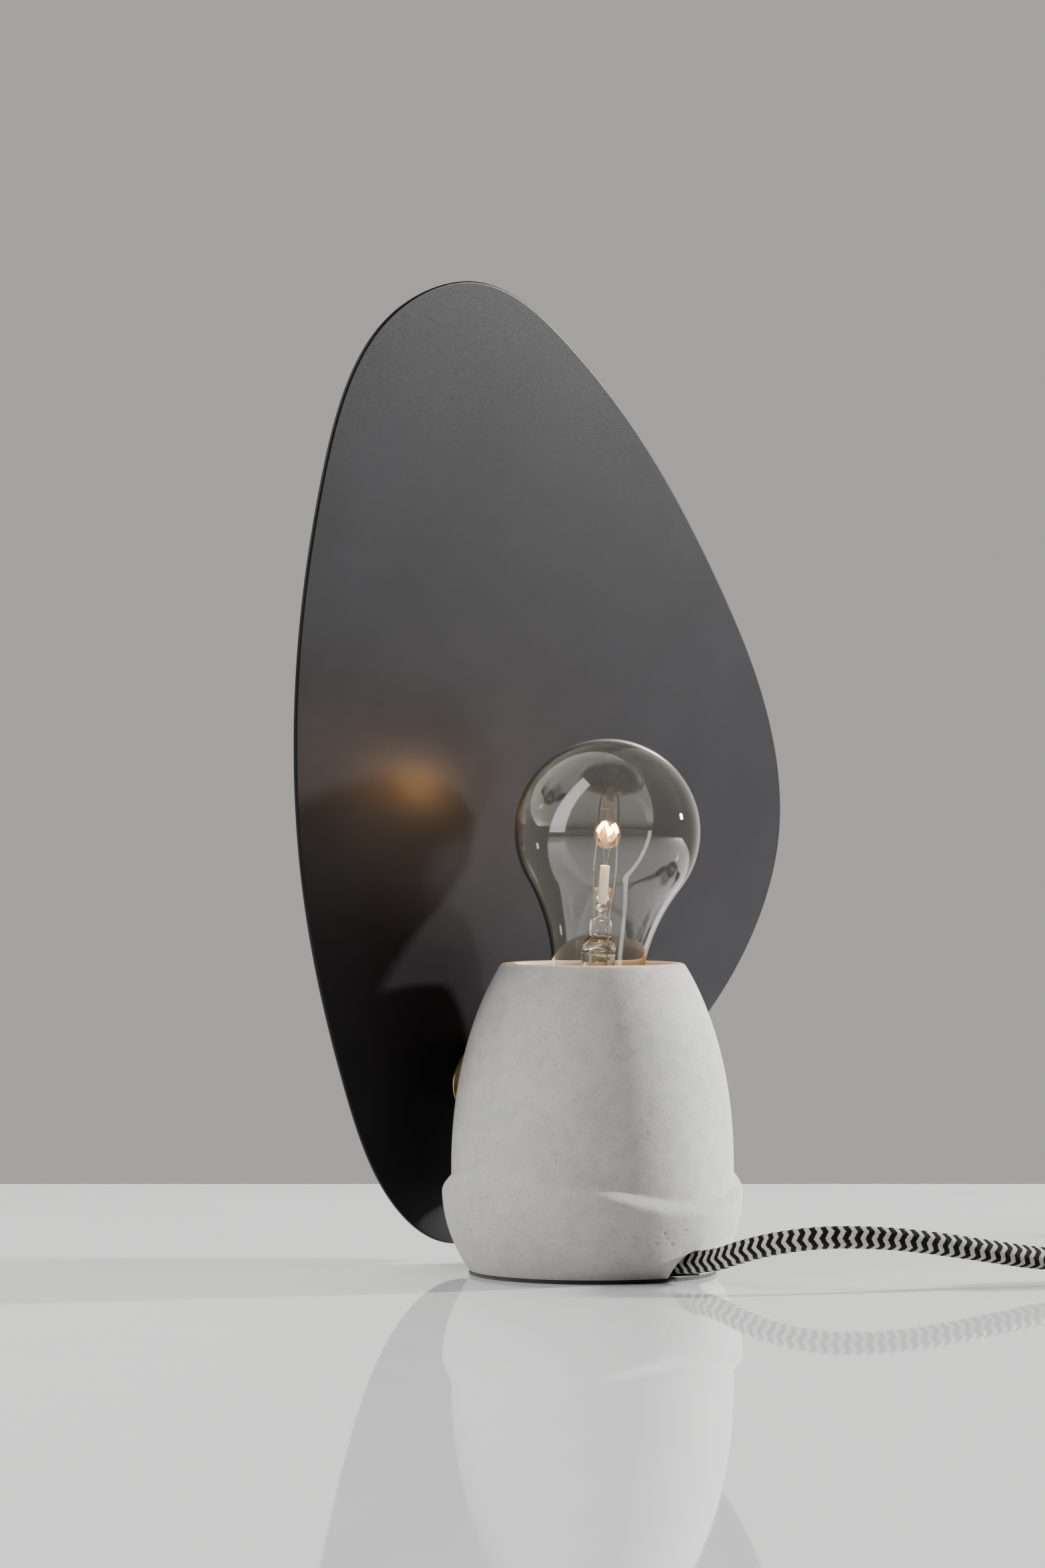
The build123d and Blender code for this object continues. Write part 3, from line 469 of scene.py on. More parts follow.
# Pressed lead glass: clear with a warm tint, crinkled where the tongs squeezed it.
STEM_GLASS = ClearGlass(
    "pressed_lead_glass", "clear_glass", "#cfc9a2", "#fbfaf2", grain=2.0, relief=0.12,
    values={"Roughness": 0.02, "IOR": 1.55, "Transmission Weight": 1.0},
)
# Aluminium with a rolled thread: pale grey, half bright.
CAP_ALUMINIUM = Finish(
    "rolled_aluminium", "cap_aluminium", "#a9abae", "#cfd1d3", 3.0, 0.25, 0.01, (0.25, 0.4),
    values={"Metallic": 1.0},
)
# Black glass insulator, pressed hot: black and mirror smooth.
BLACK_GLASS = Finish(
    "pressed_black_glass", "black_glass", "#08080a", "#121216", 3.0, 0.4, 0.01, (0.08, 0.2)
)
# Lead-free solder, frozen from a drop: dull silver with a lumpy skin.
SOLDER = Finish(
    "lead_free_solder", "solder", "#8b8c8e", "#b5b6b8", 1.2, 0.4, 0.03, (0.3, 0.5),
    values={"Metallic": 1.0},
)
# Drawn nickel wire, oxidised by heat: warm dark grey.
LEAD_WIRE = Finish(
    "nickel_wire", "lead_wire", "#7d7468", "#a39a8c", 1.0, 0.1, 0.01, (0.25, 0.4),
    values={"Metallic": 1.0},
)
# Drawn tungsten in a tight coil: glows orange to warm white.
TUNGSTEN = GlowingCoil(
    "glowing_tungsten", "tungsten", "#ff8a1e", "#ffd98c", 1.5, values={"Roughness": 0.4}
)
# Steel sheet with a fine-textured powder coat: soft black with a broad dim highlight.
BLACK_PAINT = PowderCoat(
    "fine_texture_powder_coat", "black_paint", "#0d0d0f", "#131215", 30.0, 0.4, 0.012,
    (0.3, 0.38), values={"IOR": 1.5, "Specular IOR Level": 0.1},
)
# Silicone jacket, extruded: dark red brown, satin.
JACKET = Finish("silicone_wire_jacket", "wire_jacket", "#3a1c0c", "#562c14", 3.0, 0.4, 0.01)
# Cotton braided over the cord: matt zigzags of black and pale grey.
BRAID = TextileBraid(
    "braided_cotton", "textile_cord", "#060607", "#c4c2be", relief=0.1,
    values={"Roughness": 0.9, "Specular IOR Level": 0.25},
)
# Nylon tape, woven: black, with a small square grain.
TIE_TAPE = Finish(
    "woven_nylon_tape", "tie_fabric", "#0d0d0e", "#1d1d1f", 1.2, 0.45, 0.12, (0.7, 0.9),
    Grain.CELLS, {"Sheen Weight": 0.2},
)
# Black ABS from a finely sparked mould: satin, an even fine grain.
BLACK_PLASTIC = Finish(
    "moulded_black_abs", "black_plastic", "#111112", "#1c1c1d", 8.0, 0.35, 0.02, (0.38, 0.55)
)
# Black ABS from a polished mould: glossy, so the rocker stands out from its case.
ROCKER_PLASTIC = Finish(
    "polished_black_abs", "rocker_plastic", "#151516", "#202022", 5.0, 0.8, 0.005, (0.14, 0.24)
)
# Brass pins with bright nickel plating: warm silver and glossy.
PIN_NICKEL = Finish(
    "nickel_plated_pins", "nickel_pin", "#b3aea2", "#d0ccc2", 3.0, 0.3, 0.005, (0.12, 0.25),
    values={"Metallic": 1.0},
)
# One finish for each slot of the record; turned brass and stem glass share a slot with another.
FINISHES = (
    CONCRETE, FELT, FIBRE_BOARD, ZINC, PHENOLIC, STEATITE, SHEET_BRASS, NICKEL_SHELL, GLASS,
    CAP_ALUMINIUM, BLACK_GLASS, SOLDER, LEAD_WIRE, TUNGSTEN, BLACK_PAINT, JACKET, BRAID,
    TIE_TAPE, BLACK_PLASTIC, ROCKER_PLASTIC, PIN_NICKEL,
)


# ---- shapes --------------------------------------------------------------------------------
@dataclass(frozen=True)
class Place:
    """A place in the lamp: an origin in millimetres and three unit directions."""

    origin: tuple[float, float, float] = (0.0, 0.0, 0.0)
    x: tuple[float, float, float] = (1.0, 0.0, 0.0)
    y: tuple[float, float, float] = (0.0, 1.0, 0.0)
    z: tuple[float, float, float] = (0.0, 0.0, 1.0)

    def put(self, points: np.ndarray) -> np.ndarray:
        """Takes points in this place's own directions to the lamp's, still in millimetres."""
        return points @ np.array([self.x, self.y, self.z]) + np.array(self.origin)


def unit(vector: Sequence[float] | np.ndarray) -> np.ndarray:
    """Vectors brought to length one."""
    vector = np.asarray(vector, float)
    return vector / np.linalg.norm(vector, axis=-1, keepdims=True)


def grid_faces(rows: int, columns: int, ring: bool) -> np.ndarray:
    """Quads of a grid whose columns close round; ring also closes the rows."""
    row = np.arange(rows if ring else rows - 1)[:, None] * columns
    after = (row + columns) % (rows * columns)
    column = np.arange(columns)[None, :]
    beside = (column + 1) % columns
    quads = np.stack([row + column, row + beside, after + beside, after + column], -1)
    return quads.reshape(-1, 4)


def lathe(profile: np.ndarray, steps: int = 128) -> np.ndarray:
    """Turns (radius, height) pairs round Z: x = r cos a, y = r sin a, z = height."""
    angle = np.arange(steps) * TURN / steps
    radius, height = profile[:, :1], profile[:, 1:2]
    return np.stack(
        [radius * np.cos(angle), radius * np.sin(angle), height + 0 * angle], -1
    )


def eased(corners: Sequence[tuple[float, float]], radius: float, steps: int = 5) -> np.ndarray:
    """A run of corners with each inner corner rounded by a quadratic arc.

    Point(s) = (1-s)^2 a + 2 s (1-s) corner + s^2 b, where a and b lie on the two runs, the
    radius away from the corner or just under half a run where that is less.

    Args:
        corners: The corners in order.
        radius: Distance from a corner at which its rounding starts.
        steps: Points in each rounding.

    Returns:
        The rounded run of points.
    """
    point = np.array(corners, float)
    run = np.diff(point, axis=0)
    length = np.linalg.norm(run, axis=1)
    reach_in = np.minimum(radius, 0.49 * length[:-1])[:, None]
    reach_out = np.minimum(radius, 0.49 * length[1:])[:, None]
    a = point[1:-1] - unit(run[:-1]) * reach_in
    b = point[1:-1] + unit(run[1:]) * reach_out
    s = np.linspace(0, 1, steps)[None, :, None]
    arcs = (1 - s) ** 2 * a[:, None] + 2 * s * (1 - s) * point[1:-1, None] + s**2 * b[:, None]
    return np.vstack([point[:1], arcs.reshape(-1, 2), point[-1:]])


def sweep(path: np.ndarray, section: np.ndarray, up: np.ndarray) -> np.ndarray:
    """Carries sections along a path.

    Point = path + side * s0 + over * s1, where side is up x tangent and over is
    tangent x side. Each end closes in a point.

    Args:
        path: Points (n, 3).
        section: Pairs (n or 1, m, 2), to the side and over.
        up: A direction, or one for each point, that no tangent lies along.

    Returns:
        A grid (n + 2, m, 3).
    """
    tangent = unit(np.gradient(path, axis=0))
    side = unit(np.cross(np.broadcast_to(up, path.shape), tangent))
    over = np.cross(tangent, side)
    section = np.broadcast_to(section, (len(path), *section.shape[1:]))
    grid = (
        path[:, None]
        + side[:, None] * section[..., :1]
        + over[:, None] * section[..., 1:]
    )
    ends = [np.repeat(path[i][None, None], grid.shape[1], 1) for i in (0, -1)]
    return np.concatenate([ends[0], grid, ends[1]])


def circle(radius: float | np.ndarray, steps: int) -> np.ndarray:
    """Round sections (n or 1, steps, 2) of the given radii."""
    angle = np.arange(steps) * TURN / steps
    radius = np.atleast_1d(radius)[:, None]
    return np.stack([radius * np.cos(angle), radius * np.sin(angle)], -1)


def smooth_run(points: Sequence[Sequence[float]], steps: int) -> np.ndarray:
    """An even run of points on a Catmull-Rom curve through the given ones."""
    point = np.array(points, float)
    point = np.vstack([2 * point[0] - point[1], point, 2 * point[-1] - point[-2]])
    place = np.linspace(0, len(points) - 1 - 1e-9, steps)
    first = place.astype(int)
    s = (place - first)[:, None]
    a, b, c, d = (point[first + k] for k in range(4))
    return 0.5 * (
        2 * b + (c - a) * s + (2 * a - 5 * b + 4 * c - d) * s**2 + (3 * b - a - 3 * c + d) * s**3
    )


def spline_points(name: str, controls: np.ndarray, fine: int = 16) -> np.ndarray:
    """Points read from a NURBS spline of order 3 with these control points.

    Args:
        name: A name for the curve while it is read.
        controls: Control points (n, 3).
        fine: Steps for each control point.

    Returns:
        The spline's points (m, 3).
    """
    curve = bpy.data.curves.new(name, "CURVE")
    curve.dimensions = "3D"
    curve.resolution_u = fine
    spline = curve.splines.new("NURBS")
    spline.points.add(len(controls) - 1)
    spline.points.foreach_set("co", np.c_[controls, np.ones(len(controls))].ravel())
    spline.order_u = 3
    spline.use_endpoint_u = True
    holder = bpy.data.objects.new(name, curve)
    mesh = bpy.data.meshes.new_from_object(holder)
    points = np.zeros(len(mesh.vertices) * 3, np.float32)
    mesh.vertices.foreach_get("co", points)
    bpy.data.objects.remove(holder)
    bpy.data.curves.remove(curve)
    bpy.data.meshes.remove(mesh)
    return points.reshape(-1, 3).astype(float)


def even(points: np.ndarray, step: float) -> tuple[np.ndarray, np.ndarray]:
    """The points of a line read again at an even step, with their distance along it."""
    run = np.r_[0, np.cumsum(np.linalg.norm(np.diff(points, axis=0), axis=1))]
    place = np.linspace(0, run[-1], int(run[-1] / step) + 1)
    return np.stack([np.interp(place, run, points[:, k]) for k in range(3)], -1), place


# ---- pieces --------------------------------------------------------------------------------
def make_piece(
    name: str,
    grids: Iterable[np.ndarray],
    finish: Finish,
    body: Body,
    replaced: Sequence[str] = (),
    place: Place = Place(),
    ring: bool = False,
    sharp: float = 35.0,
    values: dict[str, np.ndarray] | None = None,
    plan: np.ndarray | None = None,
) -> bpy.types.Object:
    """Makes a piece from grids of points in millimetres and dresses it.

    Args:
        name: The piece's name.
        grids: Arrays (rows, columns, 3); columns close round.
        finish: The piece's finish.
        body: The body it rides on.
        replaced: The frame's nodes that it stands for.
        place: Where the grids' own axes lie.
        ring: True where the rows close round too.
        sharp: Edges that turn by more degrees than this stay crisp.
        values: Point attributes by name, one value for each point in order.
        plan: A map (rows, columns + 1, 2) of the single grid's points.

    Returns:
        The finished object.
    """
    grids = [np.asarray(grid, float) for grid in grids]
    starts = np.cumsum([0] + [grid.shape[0] * grid.shape[1] for grid in grids])
    points = np.vstack([grid.reshape(-1, 3) for grid in grids])
    points = place.put(points) * MM
    faces = np.vstack(
        [grid_faces(*grid.shape[:2], ring) + start for grid, start in zip(grids, starts)]
    )
    mesh = bpy.data.meshes.new(name)
    mesh.vertices.add(len(points))
    mesh.vertices.foreach_set("co", points.ravel())
    mesh.loops.add(faces.size)
    mesh.loops.foreach_set("vertex_index", faces.ravel())
    mesh.polygons.add(len(faces))
    mesh.polygons.foreach_set("loop_start", np.arange(len(faces)) * 4)
    mesh.update(calc_edges=True)
    for key, value in (values or {}).items():
        attribute = mesh.attributes.new(key, "FLOAT", "POINT")
        attribute.data.foreach_set("value", np.asarray(value, np.float32).ravel())
    if plan is not None:
        rows, columns = plan.shape[0], plan.shape[1] - 1
        row = np.arange(rows - 1)[:, None]
        column = np.arange(columns)[None, :]
        corners = [
            plan[row, column], plan[row, column + 1],
            plan[row + 1, column + 1], plan[row + 1, column],
        ]
        layer = mesh.uv_layers.new(name="cord")
        layer.data.foreach_set("uv", np.stack(corners, 2).astype(np.float32).ravel())
    close_up(mesh, sharp)
    mesh.materials.append(finish.material())
    piece = bpy.data.objects.new(name, mesh)
    bpy.context.scene.collection.objects.link(piece)
    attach(piece, body.value)
    if replaced:
        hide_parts(*replaced)
    log.info("%s: %d faces on %s", name, len(mesh.polygons), body.value)
    return piece


def close_up(mesh: bpy.types.Mesh, sharp: float) -> None:
    """Merges doubled points, turns the faces outwards and keeps crisp edges crisp."""
    shape = bmesh.new()
    shape.from_mesh(mesh)
    bmesh.ops.remove_doubles(shape, verts=shape.verts, dist=2e-6)
    bmesh.ops.dissolve_degenerate(shape, dist=1e-7, edges=shape.edges)
    bmesh.ops.recalc_face_normals(shape, faces=shape.faces)
    shape.to_mesh(mesh)
    shape.free()
    mesh.shade_smooth()
    mesh.set_sharp_from_angle(angle=np.radians(sharp))
    mesh.update()


LEAN = np.radians(5.6)
SEAT = 76.5  # height at which the leaning axis crosses the foot's own
SOCKET = Place(
    (0.0, 0.0, SEAT),
    (1.0, 0.0, 0.0),
    (0.0, float(np.cos(LEAN)), float(np.sin(LEAN))),
    (0.0, float(-np.sin(LEAN)), float(np.cos(LEAN))),
)
PLATE_LEAN = np.radians(9.7)
# z of this place points from the plate to the bulb, so what lies behind has a negative z
STUD = Place(
    (0.0, 51.7205, 61.1985),
    (1.0, 0.0, 0.0),
    (0.0, float(-np.sin(PLATE_LEAN)), float(np.cos(PLATE_LEAN))),
    (0.0, float(-np.cos(PLATE_LEAN)), float(-np.sin(PLATE_LEAN))),
)


@dataclass
class Rows:
    """Rows of a grid, each of radii, heights and angles at the grid's columns."""

    angle: np.ndarray
    found: list[np.ndarray] = field(default_factory=list)

    def add(self, radius: Any, height: Any, angle: np.ndarray | None = None) -> None:
        """Adds a row.

        Args:
            radius: One radius, or one for each column.
            height: One height, or one for each column.
            angle: The columns' angles, where they differ from the grid's own.
        """
        one = np.ones_like(self.angle)
        at = self.angle if angle is None else angle
        self.found.append(np.array([radius * one, height * one, at]))

    def stacked(self) -> np.ndarray:
        """Radii, heights and angles as an array (3, rows, columns)."""
        return np.array(self.found).transpose(1, 0, 2)


@dataclass
class Foot:
    """The cast foot: a tapering body in a proud band with a wavy edge, and its felt."""

    height: float = 100.0
    body_radius: float = 45.5
    waist: float = 35.0
    rise: float = 85.4
    wall_top: float = 96.0  # height where the wall ends and the rounding to the rim begins
    band_radius: float = 48.5
    band_middle: float = 28.0
    band_wave: float = 6.0
    band_drop: float = 46.5
    facet_slope: float = 1.2
    edge_round: float = 1.5
    well: float = 25.5
    well_top: float = 90.0  # height where the well's straight wall ends
    well_depth: float = 38.0  # of its floor below the seat, along the leaning axis
    nipple_hole: float = 5.1
    lip_end: float = 27.6  # radius that the lip's inner rounding is drawn to
    brow_start: float = 27.4  # radius that its outer rounding is drawn from
    recess: float = 31.0
    recess_depth: float = 47.0  # of its ceiling below the seat, along the leaning axis
    cover: float = 33.1
    cover_thickness: float = 1.5
    felt: float = 39.7
    felt_thickness: float = 1.3
    notch_half: float = 7.5
    notch_straight: float = 2.5
    notch_radius: float = 45.0  # where the columns over the notch are spaced
    notch_gap: float = 0.02  # between the two columns at each side of the notch
    holes: int = 210
    gathered: int = 30  # how many of the holes lie close together on the band
    hole_share: float = 0.55  # depth of a hole over its radius
    # depth at which the painted shade in an air hole is full
    hole_shade_depth: float = 0.35  # depth at which a hole is all dark

    def wall(self, height: np.ndarray) -> np.ndarray:
        """Body radius: an ellipse above the waist and straight below it."""
        above = np.clip(height - self.waist, 0, None) / self.rise
        return self.body_radius * np.sqrt(1 - above**2)

    def skirt(self, height: np.ndarray) -> np.ndarray:
        """Band radius: an ellipse below the band's middle and straight above it."""
        below = np.clip(self.band_middle - height, 0, None) / self.band_drop
        return self.band_radius * np.sqrt(1 - below**2)

    def floor(self, angle: np.ndarray, radius: Any, depth: float) -> np.ndarray:
        """Height of a plane square to the leaning axis, below its crossing by the depth."""
        return SEAT + (-depth - radius * np.cos(angle) * np.sin(LEAN)) / np.cos(LEAN)

    def columns(self) -> np.ndarray:
        """Angles from -Y, close together over the notch and even round the rest."""
        side = np.arcsin((self.notch_half + self.notch_gap) / self.notch_radius)
        inside = np.arcsin((self.notch_half - self.notch_gap) / self.notch_radius)
        arch = np.arcsin(np.sin(inside) * np.sin(np.linspace(-1, 1, 25) * np.pi / 2))
        rest = np.linspace(side, TURN - side, 396)
        return np.r_[arch, rest]

    def beside_notch(self, angle: np.ndarray, radius: np.ndarray) -> np.ndarray:
        """The columns' angles at a radius, so that the notch's sides are parallel.

        An angle near the notch grows as the radius shrinks; the change fades out with
        distance from it.
        """
        offset = (angle + np.pi) % TURN - np.pi
        near = np.clip((np.radians(60) - np.abs(offset)) / np.radians(50), 0, 1)
        near = near * near * (3 - 2 * near)
        half = self.notch_half + self.notch_gap
        across = np.clip(self.notch_radius * np.sin(offset), -half, half)
        return angle + near * (np.arcsin(across / radius) - np.arcsin(across / self.notch_radius))

    def well_rows(self, rows: Rows) -> None:
        """The well from the hole in its floor, up and over the rounded rim to the wall."""
        for radius in self.nipple_hole + np.linspace(0, 1, 5) * (self.well - self.nipple_hole):
            rows.add(radius, self.floor(rows.angle, radius, self.well_depth))
        low = self.floor(rows.angle, self.well, self.well_depth)
        for share in np.linspace(0, 1, 6)[1:-1]:
            rows.add(self.well, low + share * (self.well_top - low))
        lip = [(self.well, self.well_top), (self.well, self.height), (self.lip_end, self.height)]
        top, last = self.wall(np.array([self.height, self.wall_top]))
        brow = [(self.brow_start, self.height), (top, self.height), (last, self.wall_top)]
        for radius, height in np.vstack([eased(lip, 1.2, 6), eased(brow, 1.6, 8)[1:]]):
            rows.add(radius, height)

    def wall_rows(self, rows: Rows, crest: np.ndarray) -> np.ndarray:
        """The wall down to the facet, which it meets at crest + slope * (band - wall).

        Args:
            rows: The rows to add to.
            crest: Height of the band's edge at each column.

        Returns:
            Height at which the facet meets the wall, at each column.
        """
        meet = crest + 3.4  # a first guess, which four rounds settle
        for _ in range(4):
            meet = crest + (self.band_radius - self.wall(meet)) * self.facet_slope
        for share in np.linspace(0, 1, 92)[1:]:
            height = self.wall_top + share * (meet - self.wall_top)
            rows.add(self.wall(height), height)
        return meet

    def facet_rows(self, rows: Rows, crest: np.ndarray, meet: np.ndarray) -> None:
        """The facet out to the band's edge, which is a quadratic arc on to the skirt."""
        outer, inner, crease = self.skirt(crest), self.wall(meet), self.edge_round
        start = 1 - crease / np.hypot(outer - inner, meet - crest)
        for share in (0.2, 0.4, 0.6, 0.8, 1.0):
            rows.add(
                inner + share * start * (outer - inner), meet + share * start * (crest - meet)
            )
        below = self.skirt(crest - crease)
        for s in np.linspace(0, 1, 8)[1:]:
            a, b, c = (1 - s) ** 2, 2 * s * (1 - s), s**2
            rows.add(
                a * (inner + start * (outer - inner)) + b * outer + c * below,
                a * (meet + start * (crest - meet)) + b * crest + c * (crest - crease),
            )

    def under_rows(self, rows: Rows, crest: np.ndarray) -> None:
        """The skirt down to the felt, or to the notch's arch, and the recess inside it."""
        angle, one = rows.angle, np.ones_like(rows.angle)
        aside = self.notch_radius * np.sin((angle + np.pi) % TURN - np.pi)
        arch = self.notch_straight + np.sqrt(np.clip(self.notch_half**2 - aside**2, 0, None))
        lowest = np.where(np.abs(aside) < self.notch_half, arch, 0.0) * (np.cos(angle) > 0)

        def add(radius: Any, height: Any) -> None:
            """Adds a row that follows the notch's parallel sides."""
            rows.add(radius, height, self.beside_notch(angle, radius * one))

        start = crest - self.edge_round
        bottom = np.maximum(self.felt_thickness, lowest)
        for share in np.linspace(0, 1, 46)[1:]:
            height = start + share * (bottom - crest + self.edge_round)
            add(self.skirt(height), height)
        hem = self.skirt(bottom)
        for share in (0.03, 0.35, 0.7, 1.0):
            add(hem + share * (self.cover - hem), bottom)
        step = np.maximum(self.felt_thickness + self.cover_thickness, lowest)
        add(self.cover, step)
        add(self.recess, step)
        ceiling = self.floor(angle, self.recess, self.recess_depth)
        for share in (0.1, 0.5, 1.0):
            add(self.recess, step + share * (ceiling - step))
        for share in (0.5, 1.0):
            radius = self.recess + share * (self.nipple_hole - self.recess)
            rows.add(radius, self.floor(angle, radius, self.recess_depth))

    def build(self) -> None:
        """The cast body in one closed grid, then the boss and the felt."""
        rows = Rows(self.columns())
        crest = self.band_middle - self.band_wave * np.cos(2 * rows.angle)
        self.well_rows(rows)
        meet = self.wall_rows(rows, crest)
        self.facet_rows(rows, crest, meet)
        self.under_rows(rows, crest)
        radius, height, at = rows.stacked()
        dent, unevenness = self.surface(radius, height, at)
        radius = radius + unevenness - dent
        # the hole values paint shade into the air holes; the shade is full at a set depth
        make_piece(
            "concrete_foot", [np.stack([radius * np.sin(at), -radius * np.cos(at), height], -1)],
            CONCRETE, Body.BASE, ["concrete_body"], ring=True, sharp=50,
            values={"hole": np.clip(dent / self.hole_shade_depth, 0, 1)},
        )
        self.boss()
        rng = np.random.default_rng(11)
        self.felt_disc(rng)
        self.felt_fibres(rng)

    def boss(self) -> None:
        """The boss that the plate's stud screws into, flared where it grows from the wall."""
        profile = eased(
            [(0, 1.4), (10.0, 1.4), (10.0, 7.2), (12.2, 10.4), (12.2, 12.6), (0, 12.6)], 0.5
        )
        grid = self.inwards(lathe(profile, 96))
        make_piece("concrete_boss", [grid], CONCRETE, Body.BASE, ["concrete_body"])

    def inwards(self, grid: np.ndarray) -> np.ndarray:
        """Points of the stud's place brought to the lamp's directions."""
        return STUD.put(grid.reshape(-1, 3)).reshape(grid.shape)

    def surface(
        self, radius: np.ndarray, height: np.ndarray, angle: np.ndarray
    ) -> tuple[np.ndarray, np.ndarray]:
        """Air holes and the mould's unevenness of the outer skin.

        A hole is depth * (1 - (d / r)^2)^2 within its radius r; the unevenness is a sum of
        slow sines of angle and height.

        Args:
            radius: Radii of the grid's points.
            height: Their heights.
            angle: Their angles.

        Returns:
            Depth of the holes and unevenness, in millimetres.
        """
        rng = np.random.default_rng(7)
        # the outer skin only: not the well, the recess, the rim or the hem
        outside = (radius > self.recess + 4) | ((height > 52) & (radius > self.recess))
        outside &= (height > 3) & (height < self.height - 3)
        count, gathered = self.holes, self.gathered
        at = rng.uniform(-np.pi, np.pi, count)
        up = rng.uniform(4, 95, count)
        size = 0.25 + 0.5 * rng.random(count) ** 3
        # more of them gather on the band, to one side of the notch
        cluster = slice(0, gathered)
        at[cluster] = rng.normal(-0.3, 0.16, gathered)
        up[cluster] = rng.normal(16, 4, gathered)
        size[cluster] = rng.uniform(0.3, 0.6, gathered)
        dent = np.zeros_like(radius)
        for a, z, r in zip(at, up, size):
            close = (np.abs(height - z) < r * 1.3) & outside
            turn = (angle[close] - a + np.pi) % TURN - np.pi
            gap = np.hypot(turn * radius[close], height[close] - z) / r
            dent[close] += self.hole_share * r * np.clip(1 - gap**2, 0, None) ** 2
        waves = rng.integers(1, 7, 10)
        slow = rng.uniform(0.02, 0.12, 10)
        start = rng.uniform(0, TURN, 10)
        uneven = sum(
            np.sin(w * angle + k * height + s) for w, k, s in zip(waves, slow, start)
        )
        return dent, 0.02 * uneven * outside

    def felt_disc(self, rng: np.random.Generator) -> None:
        """The felt: a disc whose rim is soft and, by a random share of its radius, ragged."""
        top, steps = self.felt_thickness - 0.02, 360
        profile = eased(
            [(0, top), (self.felt - 0.1, top), (self.felt, 0.65), (self.felt - 0.15, 0.0),
             (0, 0.0)],
            0.3,
        )
        grid = lathe(profile, steps)
        rim = profile[:, :1, None] > self.felt - 0.7
        grid[..., :2] *= 1 + 0.004 * rng.random(steps)[None, :, None] * rim - 0.003 * rim
        make_piece("felt_disc", [grid], FELT, Body.BASE, ["felt_pad"])

    def felt_fibres(self, rng: np.random.Generator) -> None:
        """Stray fibres: short bent hairs that leave the rim outwards and a little sideways."""
        count = 520
        at = rng.uniform(0, TURN, count)[:, None]
        s = np.linspace(0, 1, 5)[None, :]
        reach = rng.uniform(0.4, 1.1, count)[:, None]
        bend = rng.uniform(-0.8, 0.8, count)[:, None]
        low = rng.uniform(0.25, 1.0, count)[:, None]
        out = self.felt - 0.4 + reach * s
        swing = at + (bend * s**2 + 0.2 * bend * s) / self.felt
        lift = np.clip(low + rng.uniform(-0.5, 0.5, count)[:, None] * s**2, 0.06, 1.22)
        path = np.stack([out * np.cos(swing), out * np.sin(swing), lift], -1)
        taper, up = circle(np.linspace(0.06, 0.02, 5), 3), np.array([0, 0, 1.0])
        hairs = [sweep(line, taper, up) for line in path]
        make_piece("felt_fibres", hairs, FELT, Body.BASE)


